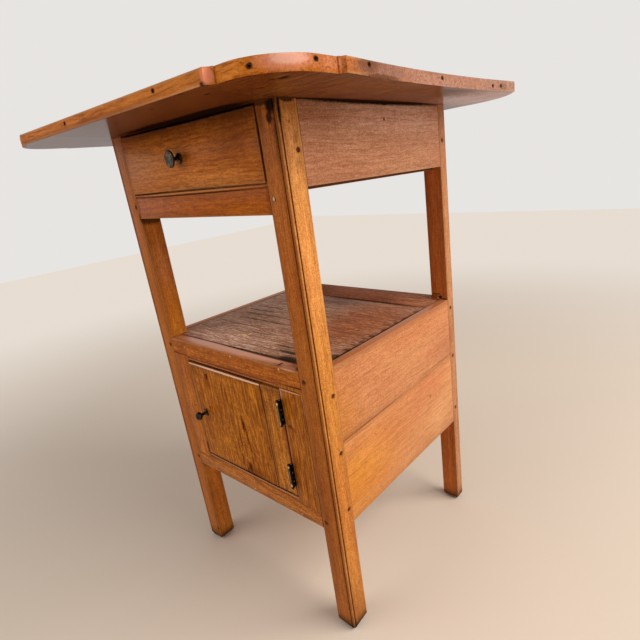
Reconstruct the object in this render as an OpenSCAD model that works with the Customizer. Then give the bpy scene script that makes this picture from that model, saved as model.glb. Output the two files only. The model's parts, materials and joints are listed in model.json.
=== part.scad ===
// Washstand commode: a shaped top on four square legs, a drawer under the top,
// an open bay, and a low cupboard with one door. Millimetres, +Z up, the front
// faces -Y. The origin is on the floor, under the middle of the top.

/* [Top] */
// Height from the floor to the top's upper face
overall_h = 759; // [720:1:800]
// Width of the top at the ends of its side edges
top_w = 602; // [570:1:640]
// Depth of the top from front edge to back edge
top_d = 546; // [520:1:580]
// Thickness of the top board
top_t = 14; // [12:0.5:22]
// How far the front edge hangs over the front legs
front_overhang = 106; // [90:1:120]
// Length of the straight front edge between its coves
front_edge_w = 444; // [380:1:470]
// Radius of the coves that end the front edge
cove_r = 6; // [4:0.5:9]
// Radius of the coves that end the side edges
side_cove_r = 4.5; // [3:0.5:7]
// Width of the square fillet beside every cove
fillet_w = 1.5; // [1:0.5:3]
// Radius of the front corner lobes
lobe_r = 55; // [30:1:65]
// From the front edge back to where each side edge starts
side_edge_front = 83; // [76:1:100]
// From the back edge forward to where each side edge ends
side_edge_back = 81; // [76:1:96]
// Depth of the hollow in each side edge
side_hollow = 10; // [4:0.5:14]
// Length of the straight part left at each end of a side edge
side_flat = 3; // [2:0.5:6]
// Radius of the broad back corners
back_corner_r = 136; // [128:1:142]
// From the side of the top in to the middle of each back corner's arc
back_corner_in = 124; // [120:1:128]
// How far the back corners stay inside the back edge
back_corner_drop = 9.5; // [6:0.5:12]
// Length of the straight back edge between its slopes
back_edge_w = 280; // [240:1:300]

/* [Legs] */
// Width of the frame over the legs
frame_w = 372; // [350:1:400]
// Depth of the frame over the legs
frame_d = 356; // [340:1:380]
// Width of every leg, seen from the front
leg_w = 32; // [30:0.5:38]
// Depth of a front leg, front to back
front_leg_d = 31; // [30:0.5:38]
// Depth of a back leg, front to back
back_leg_d = 20; // [20:0.5:26]
// Radius of the bead on each front leg's outer corner
leg_bead_r = 2.2; // [1.5:0.1:3]
// Width of the quirks beside every bead
quirk_w = 0.9; // [0.6:0.1:1.4]
// How far the worn foot is cut back at each side
foot_cut = 2.5; // [1:0.5:5]
// Height of the worn cut on the foot
foot_cut_h = 8; // [4:0.5:16]

/* [Aprons and drawer rail] */
// Height of the side and back aprons
apron_h = 92; // [88:1:98]
// Thickness of the aprons
apron_t = 15; // [14:0.5:17]
// Height of the rail below the drawer
drawer_rail_h = 35; // [30:1:42]
// Depth of the rail below the drawer
drawer_rail_d = 24; // [22:0.5:28]
// Radius of the beads worked on the rails
rail_bead_r = 1.8; // [1.2:0.1:2.4]
// Width of each drawer runner
runner_w = 29; // [25:0.5:34]
// Height of each drawer runner
runner_h = 12; // [10:0.5:16]
// Height of the guide strips beside the drawer
guide_h = 12; // [8:0.5:18]

/* [Cupboard] */
// Height of the shelf's upper face
shelf_z = 428; // [410:1:450]
// Thickness of the shelf boards
shelf_t = 14; // [12:0.5:18]
// Width of the narrow back board of the shelf
shelf_back_w = 71; // [60:1:90]
// Open joint between the two shelf boards
shelf_joint = 0.6; // [0.2:0.1:1]
// Height of the side panels
panel_h = 244; // [230:1:256]
// Thickness of the side panels
panel_t = 15; // [14:0.5:17]
// Height of the top rail at its ends
top_rail_h = 26; // [24:0.5:32]
// Height of the bottom rail at its ends
bottom_rail_h = 24; // [22:0.5:30]
// How far the bottom rail hangs below the side panels
bottom_rail_drop = 4; // [0:0.5:8]
// Depth of both cupboard rails
cupboard_rail_d = 18; // [16:0.5:20]
// How far the top rail comes down between the stiles
top_rail_step = 7; // [5:0.5:10]
// How far the bottom rail stands up between the stiles
bottom_rail_step = 9; // [5:0.5:12]
// Width of the stile on the latch side
latch_stile_w = 39; // [36:0.5:46]
// Width of the stile on the hinge side
hinge_stile_w = 45; // [38:0.5:48]
// Thickness of the stiles and the door
door_t = 14; // [13:0.5:15]
// Thickness of the back panel
back_t = 12; // [12:0.5:13]
// How far the back panel lies inside the back legs
back_inset = 2; // [1.5:0.5:3]
// Thickness of the floor board
floor_t = 10; // [8:0.5:12]
// Width of the cleats under shelf and floor
cleat_w = 12; // [10:0.5:15]
// Height of the cleats under the shelf
shelf_cleat_h = 12; // [10:0.5:16]
// Height of the cleats under the floor
floor_cleat_h = 10; // [8:0.5:12]

/* [Door] */
// Gap above the door
door_gap_top = 4; // [2:0.5:5]
// Gap below the door
door_gap_bottom = 2; // [1:0.5:4]
// Gap at the door's free edge
door_gap_latch = 1; // [0.8:0.1:2]
// Gap at the door's hinged edge
door_gap_hinge = 2; // [1.2:0.1:2.4]
// How far the wide door board stands out before the frame
door_board_out = 1.5; // [0:0.5:2]
// Width of the narrow board on the hinge side
door_strip_w = 40; // [36:1:50]
// Width of the battens across the back of the door
batten_w = 25; // [20:1:30]
// Thickness of the battens
batten_t = 12; // [10:0.5:14]
// From the door's ends to the middle of each batten
batten_inset = 21; // [18:0.5:26]

/* [Hinges] */
// Height of each hinge leaf
leaf_h = 38; // [36:1:44]
// Width of each hinge leaf let into the wood
leaf_w = 11; // [10:0.5:12]
// Thickness of the hinge leaves
leaf_t = 1.2; // [1:0.1:1.6]
// Radius of the hinge knuckles
knuckle_r = 2.75; // [2.5:0.05:3]
// How far the knuckles stand clear of the door's face
knuckle_out = 3.5; // [0.3:0.1:4]
// Radius of the hinge pins
hinge_pin_r = 1.2; // [1:0.05:1.4]
// Height of the middle of the upper hinge above the door's lower edge
upper_hinge_up = 143; // [130:1:148]
// Height of the middle of the lower hinge above the door's lower edge
lower_hinge_up = 40; // [30:1:45]

/* [Drawer] */
// Height of the drawer front
drawer_front_h = 80; // [76:1:84]
// Gap above the drawer front
drawer_gap_top = 2.5; // [1.5:0.5:4]
// Gap below the drawer front
drawer_gap_bottom = 1.5; // [1:0.5:3]
// Gap at each side of the drawer
drawer_gap_side = 1; // [0.8:0.1:2]
// Gap behind the drawer
drawer_gap_back = 4; // [2:0.5:8]
// Thickness of the drawer front
drawer_front_t = 18; // [17:0.5:22]
// How far the drawer front stands out before the legs
drawer_out = 2; // [0:0.5:3]
// Thickness of the drawer sides and back
drawer_side_t = 9; // [8:0.5:11]
// Wood left in front of the lapped dovetails
dovetail_lap = 6; // [5:0.5:8]
// Number of tails at each corner
tail_count = 3; // [2:1:4]
// Thickness of the drawer bottom
drawer_bottom_t = 6; // [5:0.5:7]
// From the drawer sides' lower edges up to the bottom's groove
drawer_bottom_up = 6; // [5:0.5:9]
// Depth of the groove for the bottom
drawer_groove = 4.5; // [3:0.5:5]
// Place of the drawer knob, left of the middle
drawer_knob_left = 8; // [0:1:20]
// Radius of the drawer knob's disc
drawer_knob_r = 11; // [10:0.5:15]
// How far the drawer knob stands out
drawer_knob_out = 15.5; // [13:0.5:20]

/* [Door knob and latch] */
// From the door's free edge to the knob
door_knob_in = 21; // [18:0.5:25]
// Radius of the door knob's head
door_knob_r = 7.2; // [6:0.2:9]
// How far the door knob stands out
door_knob_out = 20; // [17:0.5:24]
// Reach of the latch tongue from the knob's spindle
tongue_reach = 33; // [30:1:38]
// Width of the latch tongue
tongue_w = 9; // [8:0.5:11]
// Thickness of the latch tongue
tongue_t = 2; // [1.5:0.1:2.5]
// Radius of both knobs' spindles
spindle_r = 2.5; // [2:0.1:3]

/* [Joinery] */
// Thickness of the tenons
tenon_t = 7; // [6:0.5:7]
// Length of the tenons on rails and back apron
tenon_l = 18; // [16:0.5:19]
// Length of the tenons on side aprons and side panels
side_tenon_l = 12; // [9:0.5:13]
// Shoulder above and below every tenon
tenon_shoulder = 4; // [3:0.5:6]
// Height of each of the three tenons on a side panel
panel_tenon_h = 44; // [40:1:48]
// Radius of the pegs through the tenons
peg_r = 2.8; // [2.2:0.1:3]
// From the aprons' lower edges up to their pegs
apron_peg_up = 40; // [34:1:56]
// From a leg's arris in to the middle of its pegs
peg_in = 7; // [6:0.5:8]
// Length of the pegs through the front and back of the legs
peg_l = 14; // [13:0.5:15]
// Length of the pegs through the sides of the legs
side_peg_l = 12; // [11.5:0.1:12.5]
// Radius of the pegs through the top
top_peg_r = 4; // [3:0.5:4.5]
// Depth of the top's pegs below the top board
top_peg_depth = 24; // [16:1:30]
// Radius of the nails
nail_r = 1.1; // [0.8:0.1:1.4]

/* [Hidden] */
$fn = 48;

// Radial clearance of pegs, nails, screws and spindles in their holes
fit = 0.05;
// Clearance round a tenon in its mortise
tenon_fit = 0.1;

// Colours, as the photograph shows them
honey = [0.80, 0.47, 0.20];
amber = [0.70, 0.40, 0.17];
dark_board = [0.36, 0.24, 0.17];
plain_wood = [0.72, 0.55, 0.35];
peg_wood = [0.55, 0.33, 0.16];
dark_metal = [0.22, 0.19, 0.16];

// Planes of the frame
under_z = overall_h - top_t;
front_y = front_overhang - top_d / 2;
back_y = front_y + frame_d;
out_x = frame_w / 2;
in_x = out_x - leg_w;
front_leg_back = front_y + front_leg_d;
back_leg_front = back_y - back_leg_d;
apron_in_x = out_x - apron_t;
apron_in_y = back_y - apron_t;
apron_z = under_z - apron_h;
panel_in_x = out_x - panel_t;

// Heights under the drawer
drawer_rail_top = under_z - drawer_gap_top - drawer_front_h - drawer_gap_bottom;
drawer_rail_z = drawer_rail_top - drawer_rail_h;
runner_z = drawer_rail_top - runner_h;
runner_x = apron_in_x - runner_w;

// Heights and planes of the cupboard
panel_z = shelf_z - panel_h;
bottom_rail_z = panel_z - bottom_rail_drop;
stile_z = bottom_rail_z + bottom_rail_h;
stile_top = shelf_z - top_rail_h;
opening_z = stile_z + bottom_rail_step;
opening_top = stile_top - top_rail_step;
opening_x = -in_x + latch_stile_w;
opening_x_end = in_x - hinge_stile_w;
rail_back = front_y + cupboard_rail_d;
stile_back = front_y + door_t;
shelf_under = shelf_z - shelf_t;
shelf_split = back_y - shelf_back_w;
back_panel_y = back_y - back_inset - back_t;
floor_z = panel_z + floor_cleat_h;
floor_top = floor_z + floor_t;

// Tenons: the gap from a face to its tenon, and where the panel's tenons stand
apron_tenon_in = (apron_t - tenon_t) / 2;
panel_tenon_in = (panel_t - tenon_t) / 2;
rail_tenon_in = 5;
panel_tenon_edge = 6;
panel_tenon_z = [
    panel_z + panel_tenon_edge,
    (panel_z + shelf_z - panel_tenon_h) / 2,
    shelf_z - panel_tenon_edge - panel_tenon_h
];
apron_shoulder = 10;
apron_tenon_z = apron_z + apron_shoulder;
apron_tenon_h = apron_h - 2 * apron_shoulder;
apron_peg_z = apron_z + apron_peg_up;
front_peg_up = [20, 19, 12];
back_peg_up = [20, 34, 33];
stub_l = 8;
stub_side = 8;
back_tongue_t = 6;
back_tongue_l = 14;
back_tongue_end = 10;

// Nails through the cupboard's rails, left to right
rail_nail_out = 2;
rail_nail_x = [
    opening_x - rail_nail_out,
    (opening_x + opening_x_end) / 2 + 8,
    opening_x_end + rail_nail_out
];
rail_nail_l = 32;
shelf_nail_z = shelf_z - shelf_t / 2;
floor_nail_z = floor_z + floor_t / 2;

// Door
door_x = opening_x + door_gap_latch;
door_x_end = opening_x_end - door_gap_hinge;
door_z = opening_z + door_gap_bottom;
door_top = opening_top - door_gap_top;
door_back = front_y + door_t;
door_face_y = front_y - door_board_out;
door_board_t = door_t + door_board_out;
door_joint_x = door_x_end - door_strip_w;
batten_z = [door_top - batten_inset - batten_w / 2, door_z + batten_inset - batten_w / 2];
batten_side = 12;
board_w = door_joint_x - door_x;
batten_nail_x = [
    door_x + board_w * 0.28,
    door_x + board_w * 0.62,
    door_x + board_w * 0.92,
    door_joint_x + door_strip_w * 0.4
];
batten_nail_l = 22;

// Hinges
pin_x = opening_x_end - door_gap_hinge / 2;
pin_y = front_y - knuckle_r - knuckle_out;
hinge_z = [door_z + upper_hinge_up, door_z + lower_hinge_up];
knuckle_count = 5;
knuckle_h = leaf_h / knuckle_count;
knuckle_play = 0.15;
screw_r = 1.4;
screw_head_r = 2.5;
screw_l = 12;
screw_y = front_y + leaf_w / 2;
screw_step = leaf_h / 3;

// Drawer
drawer_x = in_x - drawer_gap_side;
drawer_z = drawer_rail_top;
drawer_side_h = drawer_front_h - 1;
drawer_back_y = apron_in_y - drawer_gap_back;
drawer_front_z = drawer_rail_top + drawer_gap_bottom;
drawer_face_y = front_y - drawer_out;
drawer_front_in = drawer_face_y + drawer_front_t;
tail_l = drawer_front_t - dovetail_lap;
tail_slope = 1.6;
tail_pitch = (drawer_side_h - 8) / tail_count;
tail_root = tail_pitch * 0.62;
drawer_groove_z = drawer_z + drawer_bottom_up;
drawer_back_z = drawer_groove_z + drawer_bottom_t;
bottom_play = 0.2;
drawer_nail_x = [-drawer_x * 0.65, 0, drawer_x * 0.65];
drawer_nail_l = 21;

// Knobs
drawer_knob_z = drawer_front_z + drawer_front_h / 2;
door_knob_x = door_x + door_knob_in;
door_knob_z = (door_z + door_top) / 2;
nut_t = 3;
nut_r = 5.5;
spindle_end = 0.8;
tongue_gap = 0.8;
turn_gap = 0.3;

// A block between two corners
module block(low, high) {
    translate(low) cube(high - low);
}

// A rod along X, Y or Z from a starting point
module rod_x(p, r, l) {
    translate(p) rotate([0, 90, 0]) cylinder(r = r, h = l);
}

module rod_y(p, r, l) {
    translate(p) rotate([-90, 0, 0]) cylinder(r = r, h = l);
}

module rod_z(p, r, l) {
    translate(p) cylinder(r = r, h = l);
}

// The same shape on both sides of the middle
module both_sides() {
    children();
    mirror([1, 0, 0]) children();
}

// Top: corner lobes, hollow sides, and a cove and a fillet where each edge ends
side_start = side_edge_front - top_d / 2;
side_end = top_d / 2 - side_edge_back;
lobe_x = top_w / 2 - side_cove_r - fillet_w;
lobe_y = top_d / 2 - cove_r - fillet_w;

module front_lobes() {
    difference() {
        translate([-lobe_x, -lobe_y]) square([2 * lobe_x, lobe_y]);
        both_sides() translate([lobe_x - lobe_r, lobe_r - lobe_y]) difference() {
            translate([0, -lobe_r - 1]) square(lobe_r + 1);
            circle(r = lobe_r, $fn = 96);
        }
    }
}

module back_corners() {
    x = top_w / 2 - back_corner_in;
    y = top_d / 2 - back_corner_drop;
    intersection() {
        both_sides() {
            translate([x, y - back_corner_r]) circle(r = back_corner_r, $fn = 144);
            polygon([[-1, 0], [x, 0], [x, y], [back_edge_w / 2, top_d / 2], [-1, top_d / 2]]);
        }
        translate([-lobe_x, 0]) square([2 * lobe_x, top_d / 2]);
    }
}

module side_hollow_cut() {
    mid = (side_start + side_end) / 2;
    half = (side_end - side_start) / 2 - side_cove_r - side_flat;
    r = (half * half + side_hollow * side_hollow) / (2 * side_hollow);
    translate([top_w / 2 - side_hollow + r, mid]) circle(r = r, $fn = 720);
}

module top_outline() {
    front_half = front_edge_w / 2 + cove_r;
    difference() {
        union() {
            front_lobes();
            back_corners();
            translate([-front_half, -top_d / 2]) square([2 * front_half, top_d / 2]);
            translate([-top_w / 2, side_start]) square([top_w, side_end - side_start]);
        }
        both_sides() {
            translate([front_half, -top_d / 2]) circle(r = cove_r);
            translate([top_w / 2, side_start]) circle(r = side_cove_r);
            translate([top_w / 2, side_end]) circle(r = side_cove_r);
            side_hollow_cut();
        }
    }
}

leg_peg_y = [front_y + front_leg_d / 2, back_y - back_leg_d / 2];
apron_peg_y = [front_y + frame_d / 3, front_y + frame_d * 2 / 3];
back_apron_peg_x = in_x / 2;

// Every peg through the top, on the right-hand side
module top_peg_set(r) {
    z = under_z - top_peg_depth;
    l = top_peg_depth + top_t;
    for (y = leg_peg_y) rod_z([in_x + leg_w / 2, y, z], r, l);
    for (y = apron_peg_y) rod_z([out_x - apron_t / 2, y, z], r, l);
    rod_z([back_apron_peg_x, back_y - apron_t / 2, z], r, l);
}

module top_board() {
    color(honey) difference() {
        translate([0, 0, under_z]) linear_extrude(top_t) top_outline();
        both_sides() top_peg_set(top_peg_r + fit);
    }
}

module top_pegs() {
    color(peg_wood) both_sides() top_peg_set(top_peg_r);
}

// Legs: every leg is drawn on the right-hand side and mirrored
module foot_profile(w) {
    polygon([
        [foot_cut, 0], [w - foot_cut, 0], [w, foot_cut_h],
        [w, under_z], [0, under_z], [0, foot_cut_h]
    ]);
}

module leg_blank(d) {
    intersection() {
        linear_extrude(under_z) children();
        translate([0, d, 0]) rotate([90, 0, 0]) linear_extrude(d) foot_profile(leg_w);
        rotate([90, 0, 90]) linear_extrude(leg_w) foot_profile(d);
    }
}

// Section of a front leg, with the quirked bead at its outer front corner
module front_leg_section() {
    bead = 2 * leg_bead_r + quirk_w;
    core = leg_bead_r + quirk_w;
    difference() {
        square([leg_w, front_leg_d]);
        translate([leg_w - bead, 0]) square([bead, bead]);
    }
    translate([leg_w - bead, leg_bead_r]) square([core, core]);
    translate([leg_w - leg_bead_r, leg_bead_r]) circle(r = leg_bead_r);
}

// Tenons that enter the front legs from the side: drawer rail and cupboard rails
module front_rail_tenons(grow) {
    for (z = [
        [drawer_rail_z, drawer_rail_top],
        [bottom_rail_z, stile_z],
        [stile_top, shelf_z]
    ]) block(
        [in_x - 1, front_y + rail_tenon_in - grow, z[0] + tenon_shoulder - grow],
        [in_x + tenon_l + grow, front_y + rail_tenon_in + tenon_t + grow, z[1] - tenon_shoulder + grow]
    );
}

// Tenons of side apron and side panel, from one shoulder to the other
module side_tenons(y, y_end, grow) {
    block(
        [apron_in_x + apron_tenon_in - grow, y, apron_tenon_z - grow],
        [out_x - apron_tenon_in + grow, y_end, apron_tenon_z + apron_tenon_h + grow]
    );
    for (z = panel_tenon_z) block(
        [panel_in_x + panel_tenon_in - grow, y, z - grow],
        [out_x - panel_tenon_in + grow, y_end, z + panel_tenon_h + grow]
    );
}

module rail_peg_set(r) {
    for (z = [
        drawer_rail_z + drawer_rail_h / 2,
        bottom_rail_z + bottom_rail_h / 2,
        shelf_z - top_rail_h / 2
    ]) rod_y([in_x + peg_in, front_y, z], r, peg_l);
}

module side_peg_row(y, ups, r) {
    rod_x([out_x - side_peg_l, y, apron_peg_z], r, side_peg_l);
    for (i = [0:2]) rod_x([out_x - side_peg_l, y, panel_tenon_z[i] + ups[i]], r, side_peg_l);
}

module side_peg_set(r) {
    side_peg_row(front_leg_back - peg_in, front_peg_up, r);
    side_peg_row(back_leg_front + back_leg_d / 2 - 1, back_peg_up, r);
}

module back_peg_set(r) {
    for (z = [apron_peg_z, panel_z + panel_h / 4, panel_z + panel_h * 3 / 4])
        rod_y([in_x + peg_in, back_y - peg_l, z], r, peg_l);
}

module front_leg_right() {
    color(honey) difference() {
        translate([in_x, front_y, 0]) leg_blank(front_leg_d) front_leg_section();
        front_rail_tenons(tenon_fit);
        side_tenons(front_leg_back - side_tenon_l - tenon_fit, front_leg_back + 1, tenon_fit);
        top_peg_set(top_peg_r + fit);
        rail_peg_set(peg_r + fit);
        side_peg_set(peg_r + fit);
    }
}

module front_leg_left() {
    mirror([1, 0, 0]) front_leg_right();
}

module back_leg_right() {
    color(honey) difference() {
        translate([in_x, back_leg_front, 0]) leg_blank(back_leg_d) square([leg_w, back_leg_d]);
        back_apron_tenon(tenon_fit);
        back_tongue(tenon_fit);
        side_tenons(back_leg_front - 1, back_leg_front + side_tenon_l + tenon_fit, tenon_fit);
        top_peg_set(top_peg_r + fit);
        side_peg_set(peg_r + fit);
        back_peg_set(peg_r + fit);
    }
}

module back_leg_left() {
    mirror([1, 0, 0]) back_leg_right();
}

// Aprons
module side_apron_right() {
    color(honey) difference() {
        union() {
            block([apron_in_x, front_leg_back, apron_z], [out_x, back_leg_front, under_z]);
            intersection() {
                side_tenons(front_leg_back - side_tenon_l, back_leg_front + side_tenon_l, 0);
                block([0, front_y, apron_z], [out_x, back_y, under_z]);
            }
        }
        top_peg_set(top_peg_r + fit);
        side_peg_set(peg_r + fit);
        guide_nail_set(nail_r + fit);
    }
}

module side_apron_left() {
    mirror([1, 0, 0]) side_apron_right();
}

module back_apron_tenon(grow) {
    block(
        [in_x - 1, apron_in_y + apron_tenon_in - grow, apron_tenon_z - grow],
        [in_x + tenon_l + grow, back_y - apron_tenon_in + grow, apron_tenon_z + apron_tenon_h + grow]
    );
}

module back_apron() {
    color(amber) difference() {
        union() {
            block([-in_x, apron_in_y, apron_z], [in_x, back_y, under_z]);
            both_sides() back_apron_tenon(0);
        }
        both_sides() {
            top_peg_set(top_peg_r + fit);
            back_peg_set(peg_r + fit);
        }
    }
}

// Bead along the edge of a rail, as the wood beside the bead that is cut away
module bead_cut(x, x_end, z, dir) {
    d = 2 * rail_bead_r;
    translate([x, front_y, z]) rotate([90, 0, 90]) linear_extrude(x_end - x) scale([1, dir]) {
        translate([-1, d]) square([1 + rail_bead_r, quirk_w]);
        difference() {
            translate([-1, -1]) square([1 + rail_bead_r, d + 1]);
            translate([rail_bead_r, rail_bead_r]) circle(r = rail_bead_r);
        }
    }
}

module drawer_rail() {
    color(amber) difference() {
        union() {
            block([-in_x, front_y, drawer_rail_z], [in_x, front_y + drawer_rail_d, drawer_rail_top]);
            both_sides() intersection() {
                front_rail_tenons(0);
                block([0, front_y, drawer_rail_z], [out_x, front_y + drawer_rail_d, drawer_rail_top]);
            }
        }
        bead_cut(-in_x, in_x, drawer_rail_top, -1);
        both_sides() rail_peg_set(peg_r + fit);
    }
}

// Drawer runners and guides
module drawer_runner_right() {
    color(plain_wood) {
        block([runner_x, front_leg_back, runner_z], [apron_in_x, back_leg_front, drawer_rail_top]);
        block([runner_x, front_y + drawer_rail_d, runner_z], [in_x, apron_in_y, drawer_rail_top]);
    }
}

module drawer_runner_left() {
    mirror([1, 0, 0]) drawer_runner_right();
}

module guide_nail_set(r) {
    span = back_leg_front - front_leg_back;
    for (k = [1, 3, 5])
        rod_x([in_x, front_leg_back + span * k / 6, drawer_rail_top + guide_h / 2], r, out_x - in_x - 5);
}

module drawer_guide_right() {
    color(plain_wood) difference() {
        block(
            [in_x, front_leg_back, drawer_rail_top],
            [apron_in_x, back_leg_front, drawer_rail_top + guide_h]
        );
        guide_nail_set(nail_r + fit);
    }
}

module drawer_guide_left() {
    mirror([1, 0, 0]) drawer_guide_right();
}

module guide_nails() {
    color(dark_metal) both_sides() guide_nail_set(nail_r);
}

// Pegs through the tenons
module rail_pegs() {
    color(peg_wood) both_sides() rail_peg_set(peg_r);
}

module side_pegs() {
    color(peg_wood) both_sides() side_peg_set(peg_r);
}

module back_pegs() {
    color(peg_wood) both_sides() back_peg_set(peg_r);
}

// Nails through the cupboard's rails
module rail_nail_set(r) {
    for (x = rail_nail_x, z = [shelf_nail_z, floor_nail_z]) rod_y([x, front_y, z], r, rail_nail_l);
}

module rail_nails() {
    color(dark_metal) rail_nail_set(nail_r);
}

// Shelf in two boards, notched round the legs
module shelf_front_board() {
    color(dark_board) difference() {
        block([-panel_in_x, rail_back, shelf_under], [panel_in_x, shelf_split - shelf_joint, shelf_z]);
        both_sides() block([in_x, front_y, shelf_under - 1], [out_x, front_leg_back, shelf_z + 1]);
        rail_nail_set(nail_r + fit);
    }
}

module shelf_back_board() {
    color(dark_board) difference() {
        block([-panel_in_x, shelf_split, shelf_under], [panel_in_x, back_y, shelf_z]);
        both_sides() block([in_x, back_leg_front, shelf_under - 1], [out_x, back_y + 1, shelf_z + 1]);
    }
}

module shelf_cleat_right() {
    color(plain_wood) block(
        [panel_in_x - cleat_w, front_leg_back, shelf_under - shelf_cleat_h],
        [panel_in_x, back_leg_front, shelf_under]
    );
}

module shelf_cleat_left() {
    mirror([1, 0, 0]) shelf_cleat_right();
}

// Stub tenons of both stiles
module stile_stubs(x, x_end, grow) {
    block(
        [x + stub_side - grow, front_y + 4 - grow, stile_z - stub_l - grow],
        [x_end - stub_side + grow, stile_back - 4 + grow, stile_top + stub_l + grow]
    );
}

module rail_blank(z, z_end) {
    block([-in_x, front_y, z], [in_x, rail_back, z_end]);
    both_sides() intersection() {
        front_rail_tenons(0);
        block([0, front_y, z], [out_x, rail_back, z_end]);
    }
}

module cupboard_top_rail() {
    color(amber) difference() {
        union() {
            rail_blank(stile_top, shelf_z);
            block([opening_x, front_y, opening_top], [opening_x_end, rail_back, shelf_z]);
        }
        bead_cut(opening_x, opening_x_end, opening_top, 1);
        stile_stubs(-in_x, opening_x, tenon_fit);
        stile_stubs(opening_x_end, in_x, tenon_fit);
        both_sides() rail_peg_set(peg_r + fit);
        rail_nail_set(nail_r + fit);
    }
}

module cupboard_bottom_rail() {
    color(amber) difference() {
        union() {
            rail_blank(bottom_rail_z, stile_z);
            block([opening_x, front_y, bottom_rail_z], [opening_x_end, rail_back, opening_z]);
        }
        bead_cut(opening_x, opening_x_end, opening_z, -1);
        stile_stubs(-in_x, opening_x, tenon_fit);
        stile_stubs(opening_x_end, in_x, tenon_fit);
        both_sides() rail_peg_set(peg_r + fit);
        rail_nail_set(nail_r + fit);
    }
}

module stile(x, x_end) {
    block([x, front_y, stile_z], [x_end, stile_back, stile_top]);
    stile_stubs(x, x_end, 0);
}

module latch_stile() {
    color(amber) stile(-in_x, opening_x);
}

module hinge_stile() {
    color(amber) difference() {
        stile(opening_x_end, in_x);
        for (z = hinge_z) {
            block(
                [opening_x_end - 1, front_y - 1, z - leaf_h / 2],
                [opening_x_end + leaf_t, front_y + leaf_w, z + leaf_h / 2]
            );
            leaf_screws(z, fit);
        }
    }
}

// Side panels, back panel and floor
module side_panel_right() {
    color(honey) difference() {
        union() {
            block([panel_in_x, front_leg_back, panel_z], [out_x, back_leg_front, shelf_z]);
            intersection() {
                side_tenons(front_leg_back - side_tenon_l, back_leg_front + side_tenon_l, 0);
                block([0, front_y, panel_z], [out_x, back_y, shelf_z]);
            }
        }
        side_peg_set(peg_r + fit);
    }
}

module side_panel_left() {
    mirror([1, 0, 0]) side_panel_right();
}

module back_tongue(grow) {
    y = back_panel_y + (back_t - back_tongue_t) / 2;
    block(
        [in_x - 1, y - grow, panel_z + back_tongue_end - grow],
        [in_x + back_tongue_l + grow, y + back_tongue_t + grow, shelf_under - back_tongue_end + grow]
    );
}

module cupboard_back() {
    color(amber) difference() {
        union() {
            block([-in_x, back_panel_y, panel_z], [in_x, back_panel_y + back_t, shelf_under]);
            both_sides() back_tongue(0);
        }
        both_sides() back_peg_set(peg_r + fit);
    }
}

module cupboard_floor() {
    color(plain_wood) difference() {
        block([-panel_in_x, rail_back, floor_z], [panel_in_x, back_panel_y, floor_top]);
        both_sides() {
            block([in_x, front_y, floor_z - 1], [out_x, front_leg_back, floor_top + 1]);
            block([in_x, back_leg_front, floor_z - 1], [out_x, back_y, floor_top + 1]);
        }
        rail_nail_set(nail_r + fit);
    }
}

module floor_cleat_right() {
    color(plain_wood) block(
        [panel_in_x - cleat_w, front_leg_back, panel_z],
        [panel_in_x, back_leg_front, floor_z]
    );
}

module floor_cleat_left() {
    mirror([1, 0, 0]) floor_cleat_right();
}

// Door of two upright boards on two battens
module batten_nail_set(r) {
    for (x = batten_nail_x, z = batten_z) {
        out = x < door_joint_x ? door_board_out : 0;
        rod_y([x, front_y - out, z + batten_w / 2], r, batten_nail_l + out);
    }
}

module door_leaf_recesses() {
    for (z = hinge_z) {
        block(
            [door_x_end - leaf_t, front_y - 1, z - leaf_h / 2],
            [door_x_end + 1, front_y + leaf_w, z + leaf_h / 2]
        );
        mirrored_at_pin() leaf_screws(z, fit);
    }
}

module door_board() {
    color(amber) difference() {
        block([door_x, door_face_y, door_z], [door_joint_x, door_back, door_top]);
        batten_nail_set(nail_r + fit);
        rod_y([door_knob_x, door_face_y - 1, door_knob_z], spindle_r + fit, door_board_t + 2);
    }
}

module door_strip() {
    color(amber) difference() {
        block([door_joint_x, front_y, door_z], [door_x_end, door_back, door_top]);
        batten_nail_set(nail_r + fit);
        door_leaf_recesses();
    }
}

module batten(z) {
    color(plain_wood) difference() {
        block(
            [door_x + batten_side, door_back, z],
            [door_x_end - batten_side, door_back + batten_t, z + batten_w]
        );
        batten_nail_set(nail_r + fit);
    }
}

module door_batten_upper() {
    batten(batten_z[0]);
}

module door_batten_lower() {
    batten(batten_z[1]);
}

module batten_nails() {
    color(dark_metal) batten_nail_set(nail_r);
}

// Butt hinges: the stile leaf has the first, third and fifth knuckles
module mirrored_at_pin() {
    translate([2 * pin_x, 0, 0]) mirror([1, 0, 0]) children();
}

module leaf_screws(z, grow) {
    for (k = [-1:1]) {
        rod_x([opening_x_end, screw_y, z + k * screw_step], screw_r + grow, screw_l + grow);
        translate([opening_x_end, screw_y, z + k * screw_step]) rotate([0, 90, 0])
            cylinder(r1 = screw_head_r + grow, r2 = screw_r + grow, h = leaf_t);
    }
}

// A leaf on the stile's side of the pin, joined to every second knuckle
module hinge_leaf(z, first) {
    low = z - leaf_h / 2;
    difference() {
        union() {
            block(
                [opening_x_end, front_y, low],
                [opening_x_end + leaf_t, front_y + leaf_w, low + leaf_h]
            );
            for (k = [first:2:knuckle_count - 1]) {
                z_low = low + k * knuckle_h + knuckle_play;
                z_high = low + (k + 1) * knuckle_h - knuckle_play;
                rod_z([pin_x, pin_y, z_low], knuckle_r, z_high - z_low);
                block([opening_x_end, pin_y, z_low], [opening_x_end + leaf_t, front_y + 1, z_high]);
            }
        }
        rod_z([pin_x, pin_y, low - 1], hinge_pin_r + fit, leaf_h + 2);
        leaf_screws(z, fit);
    }
}

module hinge_pin(z) {
    rod_z([pin_x, pin_y, z - leaf_h / 2], hinge_pin_r, leaf_h);
    for (end = [-1, 1])
        rod_z([pin_x, pin_y, z + end * (leaf_h / 2 + 0.75) - 0.75], knuckle_r - 0.5, 1.5);
}

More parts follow.
